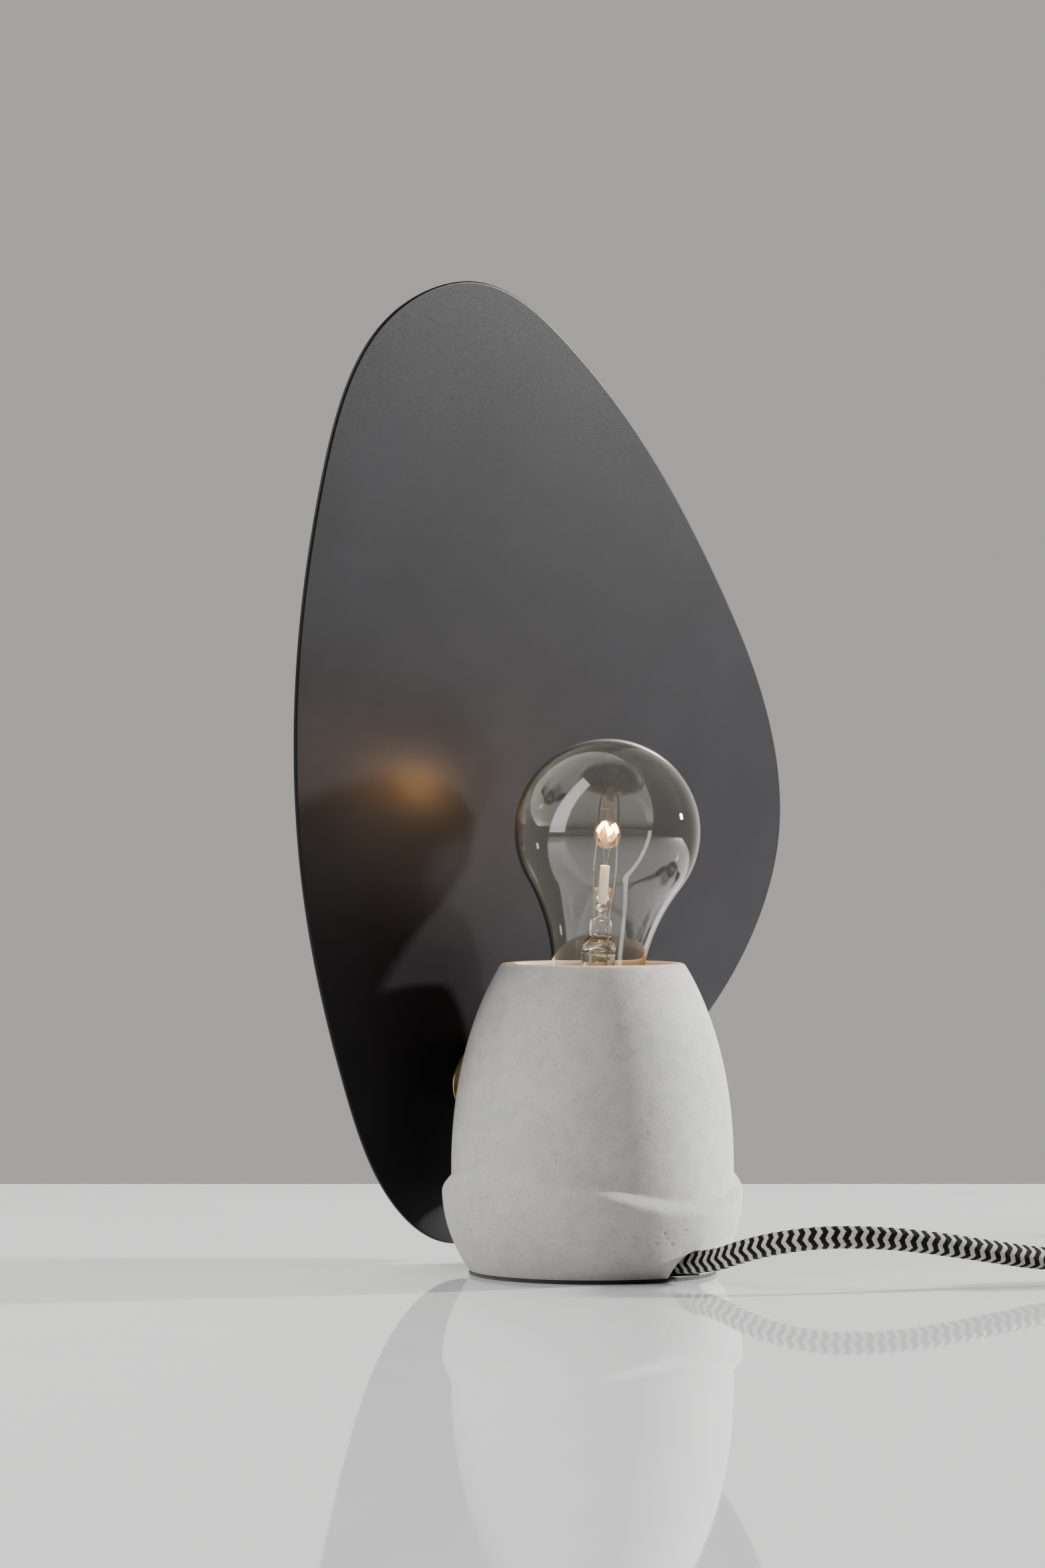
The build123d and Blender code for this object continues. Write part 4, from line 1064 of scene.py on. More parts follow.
@dataclass
class Bulb:
    """The clear bulb: envelope, stem, rod, leads, glowing coil and threaded cap."""

    globe: float = 30.0
    centre: float = 66.2
    blend: float = 62.0
    neck: float = 14.4
    wall: float = 0.8
    cap: float = 12.6
    cap_rim: float = 18.2
    cap_foot: float = -2.8
    pitch: float = 3.629
    thread: float = 0.42
    lead_turn: float = -47.0  # degrees that the plane of the leads is turned by
    sleeve: float = 12.25
    neck_foot: float = 21.0  # height where the neck's arc ends
    coil_pitch: float = 0.42  # drawn coarser than real, so that its turns show
    across: tuple[float, float, float] = (0.73, 0.68, 0.1)  # no wire lies along this

    def outline(self, inset: float) -> np.ndarray:
        """Globe, neck and sleeve from the pole down, moved inwards by an inset.

        Globe: centre + R (cos t, sin t) down to where the neck's hollow arc touches it;
        neck: its own centre outside the glass; then a short S into the cap's sleeve.
        """
        offset = np.sqrt((self.globe + self.blend) ** 2 - (self.neck + self.blend) ** 2)
        touch = -np.arctan2(offset, self.neck + self.blend)
        t = np.linspace(np.pi / 2, touch, 66)
        radius = self.globe - inset
        globe = np.c_[radius * np.cos(t), self.centre + radius * np.sin(t)]
        hollow = (self.neck + self.blend, self.centre - offset)
        ends = np.pi + touch, np.pi - np.arcsin((self.neck_foot - hollow[1]) / self.blend)
        t = np.linspace(*ends, 26)[1:]
        arc = self.blend + inset
        neck = np.c_[hollow[0] + arc * np.cos(t), hollow[1] + arc * np.sin(t)]
        sleeve = self.sleeve - inset
        s = np.linspace(0, 1, 9)[1:, None]
        last = neck[-1]
        ease = s * s * (3 - 2 * s)
        shoulder = np.c_[last[0] + ease * (sleeve - last[0]), last[1] - s * (last[1] - 18.6)]
        tail = np.array([[sleeve, 14.0], [sleeve, 9.5 + inset * 0.2]])
        globe[0, 0] = 0.0
        return np.vstack([globe, neck, shoulder, tail])

    def build(self) -> bpy.types.Object:
        """Makes every piece of the bulb.

        Returns:
            The envelope, for the light inside it.
        """
        outside = self.outline(0.0)
        profile = np.vstack([outside, self.outline(self.wall)[::-1]])
        envelope = make_piece(
            "bulb_envelope", [lathe(profile, 160)], GLASS, Body.BULB, ["glass_envelope"], SOCKET
        )
        self.stem()
        self.mount()
        self.coil()
        self.threads()
        return envelope

    def stem(self) -> None:
        """Flared tube, flat crinkled pinch and bead: an ellipse a(z) by b(z), turned."""
        rows = np.array(
            [  # height, half width, half thickness; the first rows are the hollow inside
                (28.4, 0.0, 0.0), (28.2, 2.4, 1.8), (27.2, 4.0, 3.8), (24.0, 4.3, 4.3),
                (16.0, 4.3, 4.3), (12.5, 6.4, 6.4), (10.2, 10.0, 10.0), (9.6, 10.7, 10.7),
                (9.4, 11.2, 11.2), (10.0, 11.2, 11.2), (11.4, 9.4, 9.4), (14.0, 6.3, 6.3),
                (16.5, 5.4, 5.4), (24.0, 5.4, 5.4), (28.6, 5.3, 5.2), (30.4, 4.9, 3.9),
                (31.8, 4.0, 2.2), (33.0, 3.6, 1.7), (35.4, 3.5, 1.6), (37.2, 3.4, 1.6),
                (38.2, 2.9, 1.7), (38.9, 1.5, 1.4), (39.6, 1.1, 1.1), (40.6, 1.6, 1.6),
                (41.6, 1.95, 1.95), (42.6, 1.7, 1.7), (43.3, 1.0, 1.0), (43.6, 0.0, 0.0),
            ]
        )
        line = smooth_run(rows, 210)
        line[:, 1:] = np.clip(line[:, 1:], 0, None)
        line[[0, -1], 1:] = 0
        steps = 72
        angle = np.arange(steps) * TURN / steps
        height = line[:, :1]
        # ridges where the soft glass was squeezed
        squeezed = np.exp(-(((height - 34.5) / 3.4) ** 2)) * (line[:, 1:2] > 0.4)
        ridge = 1 + 0.05 * squeezed * np.sin(6 * angle + 0.9 * height)
        x = line[:, 1:2] * np.cos(angle) * ridge
        y = line[:, 2:3] * np.sin(angle) * ridge
        turn = np.radians(self.lead_turn)
        grid = np.stack(
            [
                x * np.cos(turn) - y * np.sin(turn),
                x * np.sin(turn) + y * np.cos(turn),
                height + 0 * angle,
            ],
            -1,
        )
        make_piece("bulb_stem", [grid], STEM_GLASS, Body.BULB, ["glass_stem"], SOCKET)

    def beside(self, runs: Sequence[tuple[float, float, float]], steps: int) -> np.ndarray:
        """A smooth run of (reach, sideways, height) in the plane of the two leads."""
        turn = np.radians(self.lead_turn)
        run = smooth_run(runs, steps)
        return np.stack(
            [
                run[:, 0] * np.cos(turn) - run[:, 1] * np.sin(turn),
                run[:, 0] * np.sin(turn) + run[:, 1] * np.cos(turn),
                run[:, 2],
            ],
            -1,
        )

    def mount(self) -> None:
        """The cream rod over the bead, and the two leads that stand beside it."""
        rod = eased(
            [(0, 43.2), (1.5, 43.2), (1.55, 49.0), (1.5, 55.3), (0, 55.3)], 0.35
        )
        make_piece("bulb_rod", [lathe(rod, 48)], STEATITE, Body.BULB, ["support_rod"], SOCKET)
        up = np.array(self.across)
        grids = []
        for side in (-1, 1):
            path = self.beside(
                [
                    (side * 3.3, 0, 10.5), (side * 2.9, 0, 20.0), (side * 2.4, 0, 31.0),
                    (side * 2.4, 0, 38.6), (side * 2.7, 0.1, 43.6), (side * 3.5, 0.1, 51.0),
                    (side * 3.5, 0, 58.0), (side * 3.1, 0, 64.6), (side * 3.1, 0, 65.7),
                ],
                90,
            )
            grids.append(sweep(path, circle(0.27, 10), up))
            # the lead is folded over the coil's end
            hook = self.beside(
                [(side * 3.1, 0.0, 65.2), (side * 3.15, 0.45, 66.0), (side * 2.9, 0, 66.6),
                 (side * 2.95, -0.45, 65.9)],
                24,
            )
            grids.append(sweep(hook, circle(0.24, 8), up))
        make_piece("bulb_leads", grids, LEAD_WIRE, Body.BULB, ["lead_wires"], SOCKET)

    def coil(self) -> None:
        """The coil: a helix round a zigzag line, which two fine wires hold up.

        Point = line + r cos(k s) side + r sin(k s) over.
        """
        line = self.beside(
            [(-3.1, 0, 65.9), (-1.9, 0.1, 68.3), (-0.9, 0, 69.0), (0.1, 0, 66.6),
             (0.6, 0, 65.4), (1.3, -0.1, 67.2), (2.2, 0, 68.4), (3.1, 0, 65.9)],
            900,
        )
        run = np.r_[0, np.cumsum(np.linalg.norm(np.diff(line, axis=0), axis=1))]
        phase = run * TURN / self.coil_pitch
        tangent = unit(np.gradient(line, axis=0))
        up = np.array(self.across)
        side = unit(np.cross(up, tangent))
        over = np.cross(tangent, side)
        helix = line + 0.55 * (np.cos(phase)[:, None] * side + np.sin(phase)[:, None] * over)
        grid = sweep(helix, circle(0.16, 6), tangent)
        make_piece("bulb_filament", [grid], TUNGSTEN, Body.BULB, ["filament"], SOCKET)
        grids = []
        for reach, height in ((-1.4, 68.7), (1.75, 68.0)):
            path = self.beside(
                [(reach * 0.1, 0.2, 54.8), (reach * 0.5, 0.9, 58.5), (reach * 0.9, 0.8, 64.0),
                 (reach, 0.6, height - 0.6), (reach, 0.0, height + 0.7), (reach, -0.6, height)],
                50,
            )
            grids.append(sweep(path, circle(0.1, 8), up))
        make_piece("bulb_coil_supports", grids, LEAD_WIRE, Body.BULB, place=SOCKET)

    def threads(self) -> None:
        """Threaded cap and socket shell: radius = mean + depth * sin(TURN z / pitch - a)."""
        angle = np.arange(120) * TURN / 120

        def thread(mean: float, height: np.ndarray, fade: np.ndarray) -> np.ndarray:
            """A threaded tube's points at these heights."""
            height = height[:, None]
            wave = np.sin(TURN * height / self.pitch - angle)
            radius = mean + self.thread * fade[:, None] * wave
            return np.stack(
                [radius * np.cos(angle), radius * np.sin(angle), height + 0 * angle], -1
            )

        height = np.linspace(self.cap_rim, self.cap_foot, 110)
        fade = np.clip((self.cap_rim - 3.0 - height) / 1.5, 0, 1)
        fade *= np.clip((height - self.cap_foot) / 1.2, 0, 1)
        outer = thread(self.cap, height, fade)
        foot = lathe(np.array([(12.2, -3.2), (10.2, -4.6), (8.4, -5.6), (8.1, -5.6)]), 120)
        inner = thread(self.cap - 0.25, height[::-1], fade[::-1])
        make_piece(
            "bulb_cap", [np.concatenate([outer, foot, inner])], CAP_ALUMINIUM, Body.BULB,
            ["bulb_cap_shell"], SOCKET, ring=True,
        )
        height = np.linspace(13.9, -10.0, 130)
        fade = np.clip((13.4 - height) / 1.5, 0, 1)
        bore = thread(13.05, height, fade)
        skin = thread(13.3, height[::-1], fade[::-1])
        rim = lathe(np.array([(14.3, 14.2), (14.4, 14.35), (13.6, 14.4)]), 120)
        make_piece(
            "socket_shell", [np.concatenate([rim, bore, skin])], NICKEL_SHELL, Body.BASE,
            ["screw_shell"], SOCKET, ring=True,
        )


@dataclass
class Holder:
    """The moulded lampholder body, with grip flutes round its skirt."""

    radius: float = 20.0
    inside: float = 18.0
    top: float = 14.0
    shelf: float = 12.0  # underside of the top's inner rim
    split: float = -12.0  # where the cap takes over from the body
    bore: float = 13.55
    flutes: int = 40
    flute_depth: float = 0.45
    fluted: tuple[float, float] = (-9.0, 8.0)

    def build(self) -> None:
        """Skirt radius = r - depth |sin(n a / 2)| between plain bands at both ends."""
        low, high = self.fluted
        profile = eased(
            [(self.inside, self.shelf), (self.inside, self.split), (self.radius, self.split),
             (self.radius, low), (self.radius, high), (self.radius, self.top),
             (self.bore, self.top), (self.bore, self.shelf), (self.inside, self.shelf)],
            0.7,
        )
        tall = np.linspace(low, high, 14)[:, None]
        above = (profile[:, 0] > self.radius - 0.1) & (profile[:, 1] > low - 0.4)
        split = int(np.argmax(above))
        body = np.vstack([profile[:split], np.c_[0 * tall + self.radius, tall], profile[split:]])
        order = body[np.r_[True, np.any(np.abs(np.diff(body, axis=0)) > 1e-6, axis=1)]]
        steps = 320
        grid = lathe(order, steps)
        angle = np.arange(steps) * TURN / steps
        height, wide = order[:, 1:2], order[:, :1]
        band = np.clip((height - low + 0.5) / 2, 0, 1) * np.clip((high + 0.5 - height) / 2, 0, 1)
        skin = band * (wide > self.radius - 0.5)
        cut = self.flute_depth * skin * np.abs(np.sin(self.flutes * angle / 2))
        grid[..., 0] -= cut * np.cos(angle)
        grid[..., 1] -= cut * np.sin(angle)
        make_piece("holder_skirt", [grid], PHENOLIC, Body.BASE, ["holder_body"], SOCKET)


@dataclass
class Plate:
    """The pebble-shaped steel plate, its brass washers and its thumb knob."""

    thickness: float = 1.5
    edge: float = 0.5
    hole: float = 3.1
    washer: float = 12.0
    washer_thickness: float = 1.4
    stud_hole: float = 3.12  # bore of the washers and the knob
    knob: float = 9.0
    knob_length: float = 11.0
    knob_neck: float = 7.0
    neck_length: float = 2.5
    knurls: int = 30
    knurl_depth: float = 0.32
    corners: tuple[tuple[float, float], ...] = (
        (-48.0, 259.5), (0.5, 242.5), (44.5, 211.0), (92.5, 163.5),
        (125.5, 119.5), (138.5, 77.5), (122.5, 30.0), (80.0, -12.0),
        (40.0, -42.0), (-2.0, -56.0), (-31.5, -41.0), (-60.0, -2.0),
        (-91.0, 67.0), (-104.5, 136.0), (-103.5, 192.5), (-87.5, 241.0),
    )

    def outline(self, steps: int) -> np.ndarray:
        """A closed cubic spline through the corners, with chord lengths for its knots.

        Its second derivatives solve the usual cyclic three-term equations.

        Args:
            steps: Points to read from it.

        Returns:
            The points (steps, 2).
        """
        p = np.array(self.corners)
        count = len(p)
        after = np.roll(p, -1, 0)
        h = np.linalg.norm(after - p, axis=1)
        before = np.roll(h, 1)
        system = np.diag(2 * (h + before))
        index = np.arange(count)
        system[index, (index + 1) % count] += h
        system[index, (index - 1) % count] += before
        slope = (after - p) / h[:, None]
        bend = np.linalg.solve(system, 6 * (slope - np.roll(slope, 1, 0)))
        knot = np.r_[0, np.cumsum(h)]
        place = np.linspace(0, knot[-1], steps, endpoint=False)
        k = np.searchsorted(knot, place, side="right") - 1
        a = (knot[k + 1] - place)[:, None]
        b = (place - knot[k])[:, None]
        width = h[k][:, None]
        m0, m1 = bend[k], bend[(k + 1) % count]
        p0, p1 = p[k], p[(k + 1) % count]
        return (
            (m0 * a**3 + m1 * b**3) / (6 * width)
            + (p0 / width - m0 * width / 6) * a
            + (p1 / width - m1 * width / 6) * b
        )

    def build(self) -> None:
        """Plate as rings between its hole and its outline, then the brass fittings."""
        rim = self.outline(720)
        tangent = unit(np.roll(rim, -1, 0) - np.roll(rim, 1, 0))
        outward = np.stack([-tangent[:, 1], tangent[:, 0]], -1)
        if np.sum(outward * rim) < 0:
            outward = -outward
        middle = np.arctan2(rim[:, 1], rim[:, 0])
        hole = self.hole * np.stack([np.cos(middle), np.sin(middle)], -1)
        inset = rim - outward * self.edge
        rows = []
        shares = np.r_[0.0, 0.004, np.linspace(0.03, 0.97, 16) ** 1.2, 0.99, 0.9985, 1.0]
        for share in shares:
            rows.append(np.c_[hole + share * (inset - hole), np.zeros(len(rim))])
        for t in np.linspace(0, np.pi / 2, 7)[1:]:
            ring = inset + outward * self.edge * np.sin(t)
            rows.append(np.c_[ring, np.full(len(rim), -self.edge * (1 - np.cos(t)))])
        front = np.array(rows)
        back = front[::-1] * [1, 1, -1] - [0, 0, self.thickness]
        make_piece(
            "shade_sheet", [np.concatenate([front, back])], BLACK_PAINT, Body.SHADE,
            ["shade_plate"], STUD, ring=True, sharp=60,
        )
        w = self.washer_thickness
        self.turned_piece("washer_front", self.washer_profile(0.0, w), ["front_washer"], Body.BASE)
        rear = -self.thickness - w
        self.turned_piece("washer_rear", self.washer_profile(rear, w), ["rear_washer"], Body.BASE)
        self.thumb_knob(rear)

    def washer_profile(self, foot: float, tall: float) -> np.ndarray:
        """A flat ring with bright broken edges."""
        r, bore, bevel = self.washer, self.stud_hole, 0.35
        return eased(
            [(bore, foot), (r - bevel, foot), (r, foot + bevel), (r, foot + tall - bevel),
             (r - bevel, foot + tall), (bore, foot + tall), (bore, foot)],
            0.08, 3,
        )

    def turned_piece(
        self, name: str, profile: np.ndarray, nodes: Sequence[str], body: Body
    ) -> bpy.types.Object:
        """A brass piece turned round the stud, with its rings for the finish.

        Args:
            name: The piece's name.
            profile: Closed run of (radius, height) pairs.
            nodes: The frame's nodes it stands for.
            body: The body it rides on.

        Returns:
            The piece.
        """
        grid = lathe(profile, 160)
        ring = np.repeat(profile[:, :1] + profile[:, 1:2], 160, 1)
        return make_piece(name, [grid], BRASS, body, nodes, STUD, values={"ring": ring})

    def thumb_knob(self, seat: float) -> None:
        """Knob: r = R - depth (1 - (sin(n a + k z) sin(n a - k z))^2), a diamond knurl."""
        end, shoulder = seat - self.knob_length, seat - self.neck_length
        profile = eased(
            [(self.stud_hole, seat), (self.knob_neck, seat), (self.knob_neck, shoulder),
             (self.knob - 0.6, shoulder), (self.knob, shoulder - 0.6)], 0.15, 3,
        )
        tall = np.linspace(shoulder - 0.6, end + 0.7, 46)[1:]
        cap = eased(
            [(self.knob, end + 0.7), (self.knob - 0.7, end), (2.6, end), (2.0, end + 0.5),
             (0.0, end + 0.6)], 0.3, 4,
        )
        grip = np.c_[np.full(len(tall), self.knob), tall]
        profile = np.vstack([[(0.0, seat)], profile, grip, cap[1:]])
        steps = 360
        angle = np.arange(steps) * TURN / steps
        height, wide = profile[:, 1:2], profile[:, :1]
        band = np.clip((shoulder - 0.7 - height) / 0.5, 0, 1)
        band *= np.clip((height - end - 0.8) / 0.5, 0, 1)
        lean = self.knurls * height / self.knob
        knurl = np.sin(self.knurls * angle + lean) * np.sin(self.knurls * angle - lean)
        cut = self.knurl_depth * band * (wide > self.knob - 0.1) * (1 - knurl**2)
        grid = lathe(profile, steps)
        grid[..., 0] -= cut * np.cos(angle)
        grid[..., 1] -= cut * np.sin(angle)
        ring = np.repeat(wide + height, steps, 1)
        make_piece(
            "thumb_knob_knurled", [grid], BRASS, Body.KNOB, ["thumb_knob"], STUD,
            values={"ring": ring},
        )


@dataclass
class MainsCord:
    """The textile cord from the foot through the switch and a put-away coil to the plug."""

    radius: float = 3.65
    stripe: float = 3.4  # length of one black and one grey band together
    lead: tuple[tuple[float, float, float], ...] = (
        (0.0, -19.0, 5.1), (0.0, -46.5, 5.2), (-1.0, -69.0, 12.6), (5.0, -91.0, 16.8),
        (22.0, -109.0, 16.2), (43.0, -124.0, 12.2), (66.2, -134.2, 8.0), (84.0, -143.3, 8.0),
    )
    along: tuple[float, float] = (0.891007, -0.453990)  # direction of the switch
    link: tuple[tuple[float, float], ...] = ((58.0, 8.0), (73.0, 7.6), (87.0, 5.3))
    coil_centre: tuple[float, float] = (196.56, -147.06)
    outer_turn: float = 47.75
    inner_turn: float = 25.85
    layers: tuple[float, float] = (4.5, 11.8)  # heights of the two layers
    first: float = -117.0  # degrees at which the coil starts
    crossing: float = 115.0  # degrees in which the cord climbs to the upper layer
    turns: int = 3  # in each layer
    tie_swell: float = 0.45  # how far a tie stands off the turns
    tie_tall: float = 7.75  # half the height of a tie's loop
    tie_middle: float = 8.15  # height of its middle
    sleeve: float = 22.0  # length of the plug's sleeve
    tail: tuple[tuple[float, float, float], ...] = (
        (245.2, -137.0, 11.6), (246.5, -124.0, 8.6), (249.1, -111.0, 6.95), (251.0, -100.2, 6.85),
    )
    plug_heading: float = 80.0

    def coil(self) -> np.ndarray:
        """Control points of the turns: inwards on the table, over, and outwards on top."""
        step = 15.0  # degrees between points
        layer = 360 * self.turns
        swept = np.arange(0, layer * 2 + self.crossing + 0.1, step)
        down = np.clip(swept / layer, 0, 1)
        up = np.clip((swept - layer - self.crossing) / layer, 0, 1)
        span = self.outer_turn - self.inner_turn
        radius = self.outer_turn - span * down + span * up
        rise = np.clip((swept - layer) / self.crossing, 0, 1)
        rise = rise * rise * (3 - 2 * rise)
        height = self.layers[0] + (self.layers[1] - self.layers[0]) * rise
        # a quadratic spline runs a little inside its control points
        radius = radius / (0.75 + 0.25 * np.cos(np.radians(step)))
        at = np.radians(self.first + swept)
        return np.c_[
            self.coil_centre[0] + radius * np.cos(at),
            self.coil_centre[1] + radius * np.sin(at),
            height,
        ]

    def route(self) -> np.ndarray:
        """All control points of the cord in order, in millimetres."""
        start = np.array(self.lead[-1])
        link = [
            (start[0] + self.along[0] * s, start[1] + self.along[1] * s, z) for s, z in self.link
        ]
        return np.vstack([self.lead, link, self.coil(), self.tail])

    def build(self, plug: Sequence[bpy.types.Object]) -> bpy.types.Object:
        """The cord as a braided tube along its spline.

        Radius = r - depth * (1 - bulge), where the bulge follows each band's zigzag, so the
        outline is faintly serrated.

        Args:
            plug: The pieces that lie along the cord; not used.

        Returns:
            The cord.
        """
        read = spline_points("cord_route", self.route() * MM) / MM
        path, place = even(read, 0.55)
        steps = 24
        angle = np.arange(steps + 1) / steps
        count = place[:, None] / self.stripe
        zig = np.abs((angle * BRAID.zigs + 0.5) % 1 - 0.5)
        phase = count + 2 * BRAID.swing * zig
        bulge = 0.5 - 0.5 * np.cos(2 * TURN * phase)
        radius = (self.radius - 0.24 + 0.22 * bulge)[:, :steps]
        turn = angle[:steps] * TURN
        section = np.stack([radius * np.cos(turn), radius * np.sin(turn)], -1)
        grid = sweep(path, section, np.array([0.0, 0.0, 1.0]))
        plan = np.stack([count + 0 * angle, angle + 0 * count], -1)
        plan = np.concatenate([plan[:1], plan, plan[-1:]])
        cord = make_piece(
            "mains_cord", [grid], BRAID, Body.BASE,
            ["cord_lead", "cord_link", "cord_coil", "cord_tail"], sharp=180, plan=plan,
        )
        return cord

    def ties(self) -> bpy.types.Object:
        """Two woven ties round the coil: a rounded box section carried as a short band."""
        inner = self.inner_turn - self.radius
        outer = self.outer_turn + self.radius
        middle, half = (inner + outer) / 2, (outer - inner) / 2
        grids = []
        for start in (120.0, 300.0):
            t = np.linspace(0, TURN, 97)[:-1]
            # a superellipse round the bundle, a hair outside it
            wide = (half + self.tie_swell) * np.sign(np.cos(t)) * np.abs(np.cos(t)) ** 0.42
            tall = self.tie_tall * np.sign(np.sin(t)) * np.abs(np.sin(t)) ** 0.42
            centre = np.stack([middle + wide, self.tie_middle + tall], -1)
            leaning = [np.cos(t) * self.tie_tall, np.sin(t) * (half + self.tie_swell)]
            normal = unit(np.stack(leaning, -1))
            span = np.array([-4.5, -4.1, 0.0, 4.1, 4.5, 4.1, 0.0, -4.1])
            thick = np.array([0.0, 0.36, 0.4, 0.36, 0.0, -0.36, -0.4, -0.36])
            at = np.radians(start) - np.pi / 36
            radial = centre[:, None, 0] + normal[:, None, 0] * thick
            height = centre[:, None, 1] + normal[:, None, 1] * thick
            x = radial * np.cos(at) - span * np.sin(at)
            y = radial * np.sin(at) + span * np.cos(at)
            grids.append(
                np.stack([self.coil_centre[0] + x, self.coil_centre[1] + y, height], -1)
            )
        return make_piece(
            "cord_ties", grids, TIE_TAPE, Body.BASE, ["coil_ties"], ring=True, sharp=50
        )

    def relief(self) -> bpy.types.Object:
        """The plug's tapered sleeve, with grooves that let it bend."""
        heading = np.radians(self.plug_heading)
        reach = np.linspace(0, self.sleeve, 150)
        groove = 0.5 - 0.5 * np.cos(TURN * reach / 3.0)  # 3 mm from one to the next
        grooved = (reach > 2.5) * (reach < self.sleeve - 2.5)
        radius = 4.5 + 1.5 * reach / self.sleeve - 0.4 * groove * grooved
        profile = np.vstack([[(0.0, 0.0)], np.c_[radius, reach], [(0.0, self.sleeve)]])
        place = Place(
            self.tail[-1],
            (float(np.sin(heading)), float(-np.cos(heading)), 0.0),
            (0.0, 0.0, 1.0),
            (float(np.cos(heading)), float(np.sin(heading)), 0.0),
        )
        return make_piece(
            "plug_sleeve", [lathe(profile, 64)], BLACK_PLASTIC, Body.BASE, ["plug_relief"], place
        )


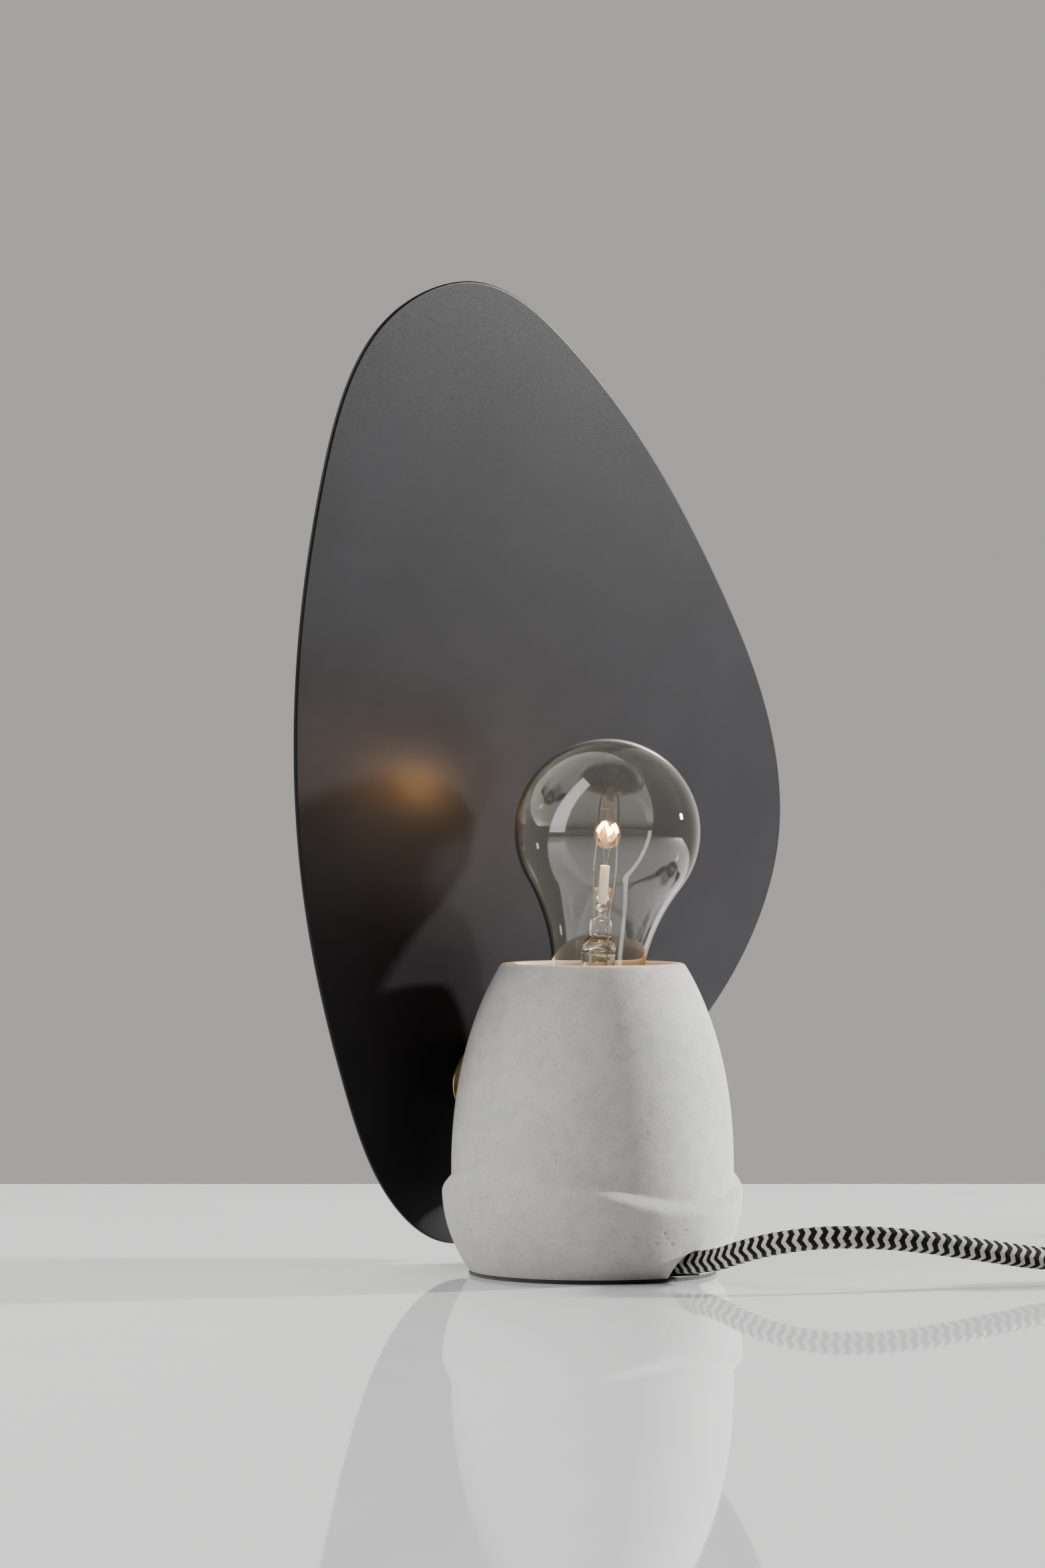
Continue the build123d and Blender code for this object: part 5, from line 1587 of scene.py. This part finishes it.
@dataclass
class Studio:
    """Camera, softboxes, a pale glossy table and a plain grey surround."""

    eye: tuple[float, float, float] = (-1.2668, -1.1503, 0.1577)
    look: tuple[float, float, float] = (0.7314, 0.682, 0.0)
    lens: float = 121.84
    sensor: float = 36.0
    aim: float = 0.13  # height that the lights face
    glow_power: float = 0.13
    table_thickness: float = 0.024
    table_back: float = 0.381  # from the foot's axis to the table's far edge, along the look

    def build(self) -> None:
        """Makes the camera, the table, the surround and the lights."""
        ahead = Vector(self.look).normalized()
        data = bpy.data.cameras.new("camera")
        data.lens, data.sensor_width, data.clip_end = self.lens, self.sensor, 30.0
        camera = bpy.data.objects.new("camera", data)
        camera.location = self.eye
        camera.rotation_euler = ahead.to_track_quat("-Z", "Y").to_euler()
        bpy.context.scene.collection.objects.link(camera)
        bpy.context.scene.camera = camera
        self.table()
        self.surround()
        side = Vector((ahead.y, -ahead.x, 0))
        up = Vector((0, 0, 1))
        self.softbox("key", side * 0.96 + ahead * 0.27 + up * 0.2, 1.7, (0.1, 0.12), 104)
        self.softbox("left", side * -0.8 - ahead * 0.22 + up * 0.52, 1.2, (1.0, 1.5), 25)
        self.softbox("rear", side * -0.3 + ahead + up * 0.8, 2.2, (1.4, 0.7), 14)
        top = self.softbox("top", ahead * -0.1 + up, 1.9, (1.4, 1.4), 27)
        top.visible_glossy = top.visible_transmission = False

    def softbox(
        self, name: str, way: Vector, far: float, size: tuple[float, float], power: float
    ) -> bpy.types.Object:
        """A rectangular light that faces the bulb.

        Args:
            name: The light's name.
            way: Direction from the lamp to the light.
            far: Its distance in metres.
            size: Its width and height in metres.
            power: Its power in watts.

        Returns:
            The light.
        """
        data = bpy.data.lights.new(name, "AREA")
        data.shape = "RECTANGLE"
        data.size, data.size_y, data.energy = *size, power
        light = bpy.data.objects.new(name, data)
        way = way.normalized()
        light.location = Vector((0, 0, self.aim)) + way * far
        light.rotation_euler = (-way).to_track_quat("-Z", "Y").to_euler()
        bpy.context.scene.collection.objects.link(light)
        return light

    def table(self) -> None:
        """A pale lacquered slab whose far edge is square to the camera."""
        ahead = unit(self.look)
        side = np.array([ahead[1], -ahead[0], 0.0])
        reach = np.array([-2.4, self.table_back])
        wide = np.array([-2.2, 2.2])
        corners = np.outer(reach[[0, 0, 1, 1]], ahead) + np.outer(wide[[0, 1, 1, 0]], side)
        points = np.vstack([corners, corners - [0, 0, self.table_thickness]])
        rim = [(k, k + 4, (k + 1) % 4 + 4, (k + 1) % 4) for k in range(4)]
        faces = [(0, 1, 2, 3), (7, 6, 5, 4), *rim]
        mesh = bpy.data.meshes.new("table_top")
        mesh.from_pydata(points.tolist(), [], faces)
        finish = Finish(
            "white_lacquer", "concrete", "#e6e6e6", "#eaeaea", 90.0, 8.0, 0.0005, (0.02, 0.04),
            values={"IOR": 1.6},
        )
        mesh.materials.append(finish.material())
        table = bpy.data.objects.new("table_top", mesh)
        bpy.context.scene.collection.objects.link(table)

    def surround(self) -> None:
        """An even grey behind everything; the light it gives comes mostly from the far wall."""
        world = bpy.data.worlds.new("studio")
        world.use_nodes = True
        tree = world.node_tree
        tree.nodes.clear()
        way = add_node(tree, "ShaderNodeTexCoord").outputs["Generated"]
        ahead = add_node(
            tree, "ShaderNodeVectorMath", {0: way, 1: self.look}, operation="DOT_PRODUCT"
        )
        behind = add_node(
            tree,
            "ShaderNodeMapRange",
            {"Value": ahead.outputs["Value"], "From Min": 0.55, "From Max": 0.9},
            interpolation_type="SMOOTHSTEP",
        )
        room = add_node(
            tree,
            "ShaderNodeMix",
            {0: behind.outputs[0], 6: linear("#2c2c2e"), 7: linear("#e2e1de")},
            data_type="RGBA",
        )
        path = add_node(tree, "ShaderNodeLightPath").outputs
        seen = add_node(
            tree,
            "ShaderNodeMath",
            {0: path["Is Camera Ray"], 1: path["Is Transmission Ray"]},
            operation="MAXIMUM",
        )
        colour = add_node(
            tree,
            "ShaderNodeMix",
            {0: seen.outputs[0], 6: room.outputs[2], 7: linear("#b0afab")},
            data_type="RGBA",
        )
        sky = add_node(tree, "ShaderNodeBackground", {"Color": colour.outputs[2]})
        add_node(tree, "ShaderNodeOutputWorld", {"Surface": sky.outputs[0]})
        bpy.context.scene.world = world

    def glow(self, envelope: bpy.types.Object) -> None:
        """The coil's warm light, which passes the glass without noise."""
        data = bpy.data.lights.new("coil_glow", "POINT")
        data.energy, data.color = self.glow_power, linear("#ffb870")[:3]
        data.shadow_soft_size = 0.003
        light = bpy.data.objects.new("coil_glow", data)
        light.location = SOCKET.put(np.array([0.0, 0.0, 67.0])) * MM
        light.visible_camera = light.visible_transmission = False
        bpy.context.scene.collection.objects.link(light)
        clear = bpy.data.collections.new("clear_of_glow")
        clear.objects.link(envelope)
        light.light_linking.blocker_collection = clear
        clear.collection_objects[0].light_linking.link_state = "EXCLUDE"


def dress_frame() -> None:
    """Gives each of the frame's own nodes the finish of its slot."""
    by_slot = {finish.slot: finish for finish in FINISHES}
    for part in frame["record"]["subparts"]:
        node = frame["nodes"][part["node"]]
        finish = by_slot[part["material_slot"]]
        node.data.materials.clear()
        node.data.materials.append(finish.material())
        log.info("%s is %s", node.name, finish.name)


def main() -> None:
    """Builds the studio, the cord and every other piece."""
    logging.basicConfig(level=logging.INFO, format="%(name)s %(message)s")
    studio = Studio()
    studio.build()
    dress_frame()
    cord = MainsCord()
    nodes = frame["nodes"]
    sleeve = cord.relief()
    ties = cord.ties()
    along = [sleeve, ties] + [
        nodes[name]
        for name in (
            "switch_lower", "switch_upper", "switch_screws", "switch_contacts", "rocker_pin",
            "switch_rocker", "plug_body", "plug_pins", "pin_sleeves",
        )
    ]
    cord.build(along)
    Foot().build()
    Holder().build()
    studio.glow(Bulb().build())
    Plate().build()


if __name__ == "__main__":
    main()
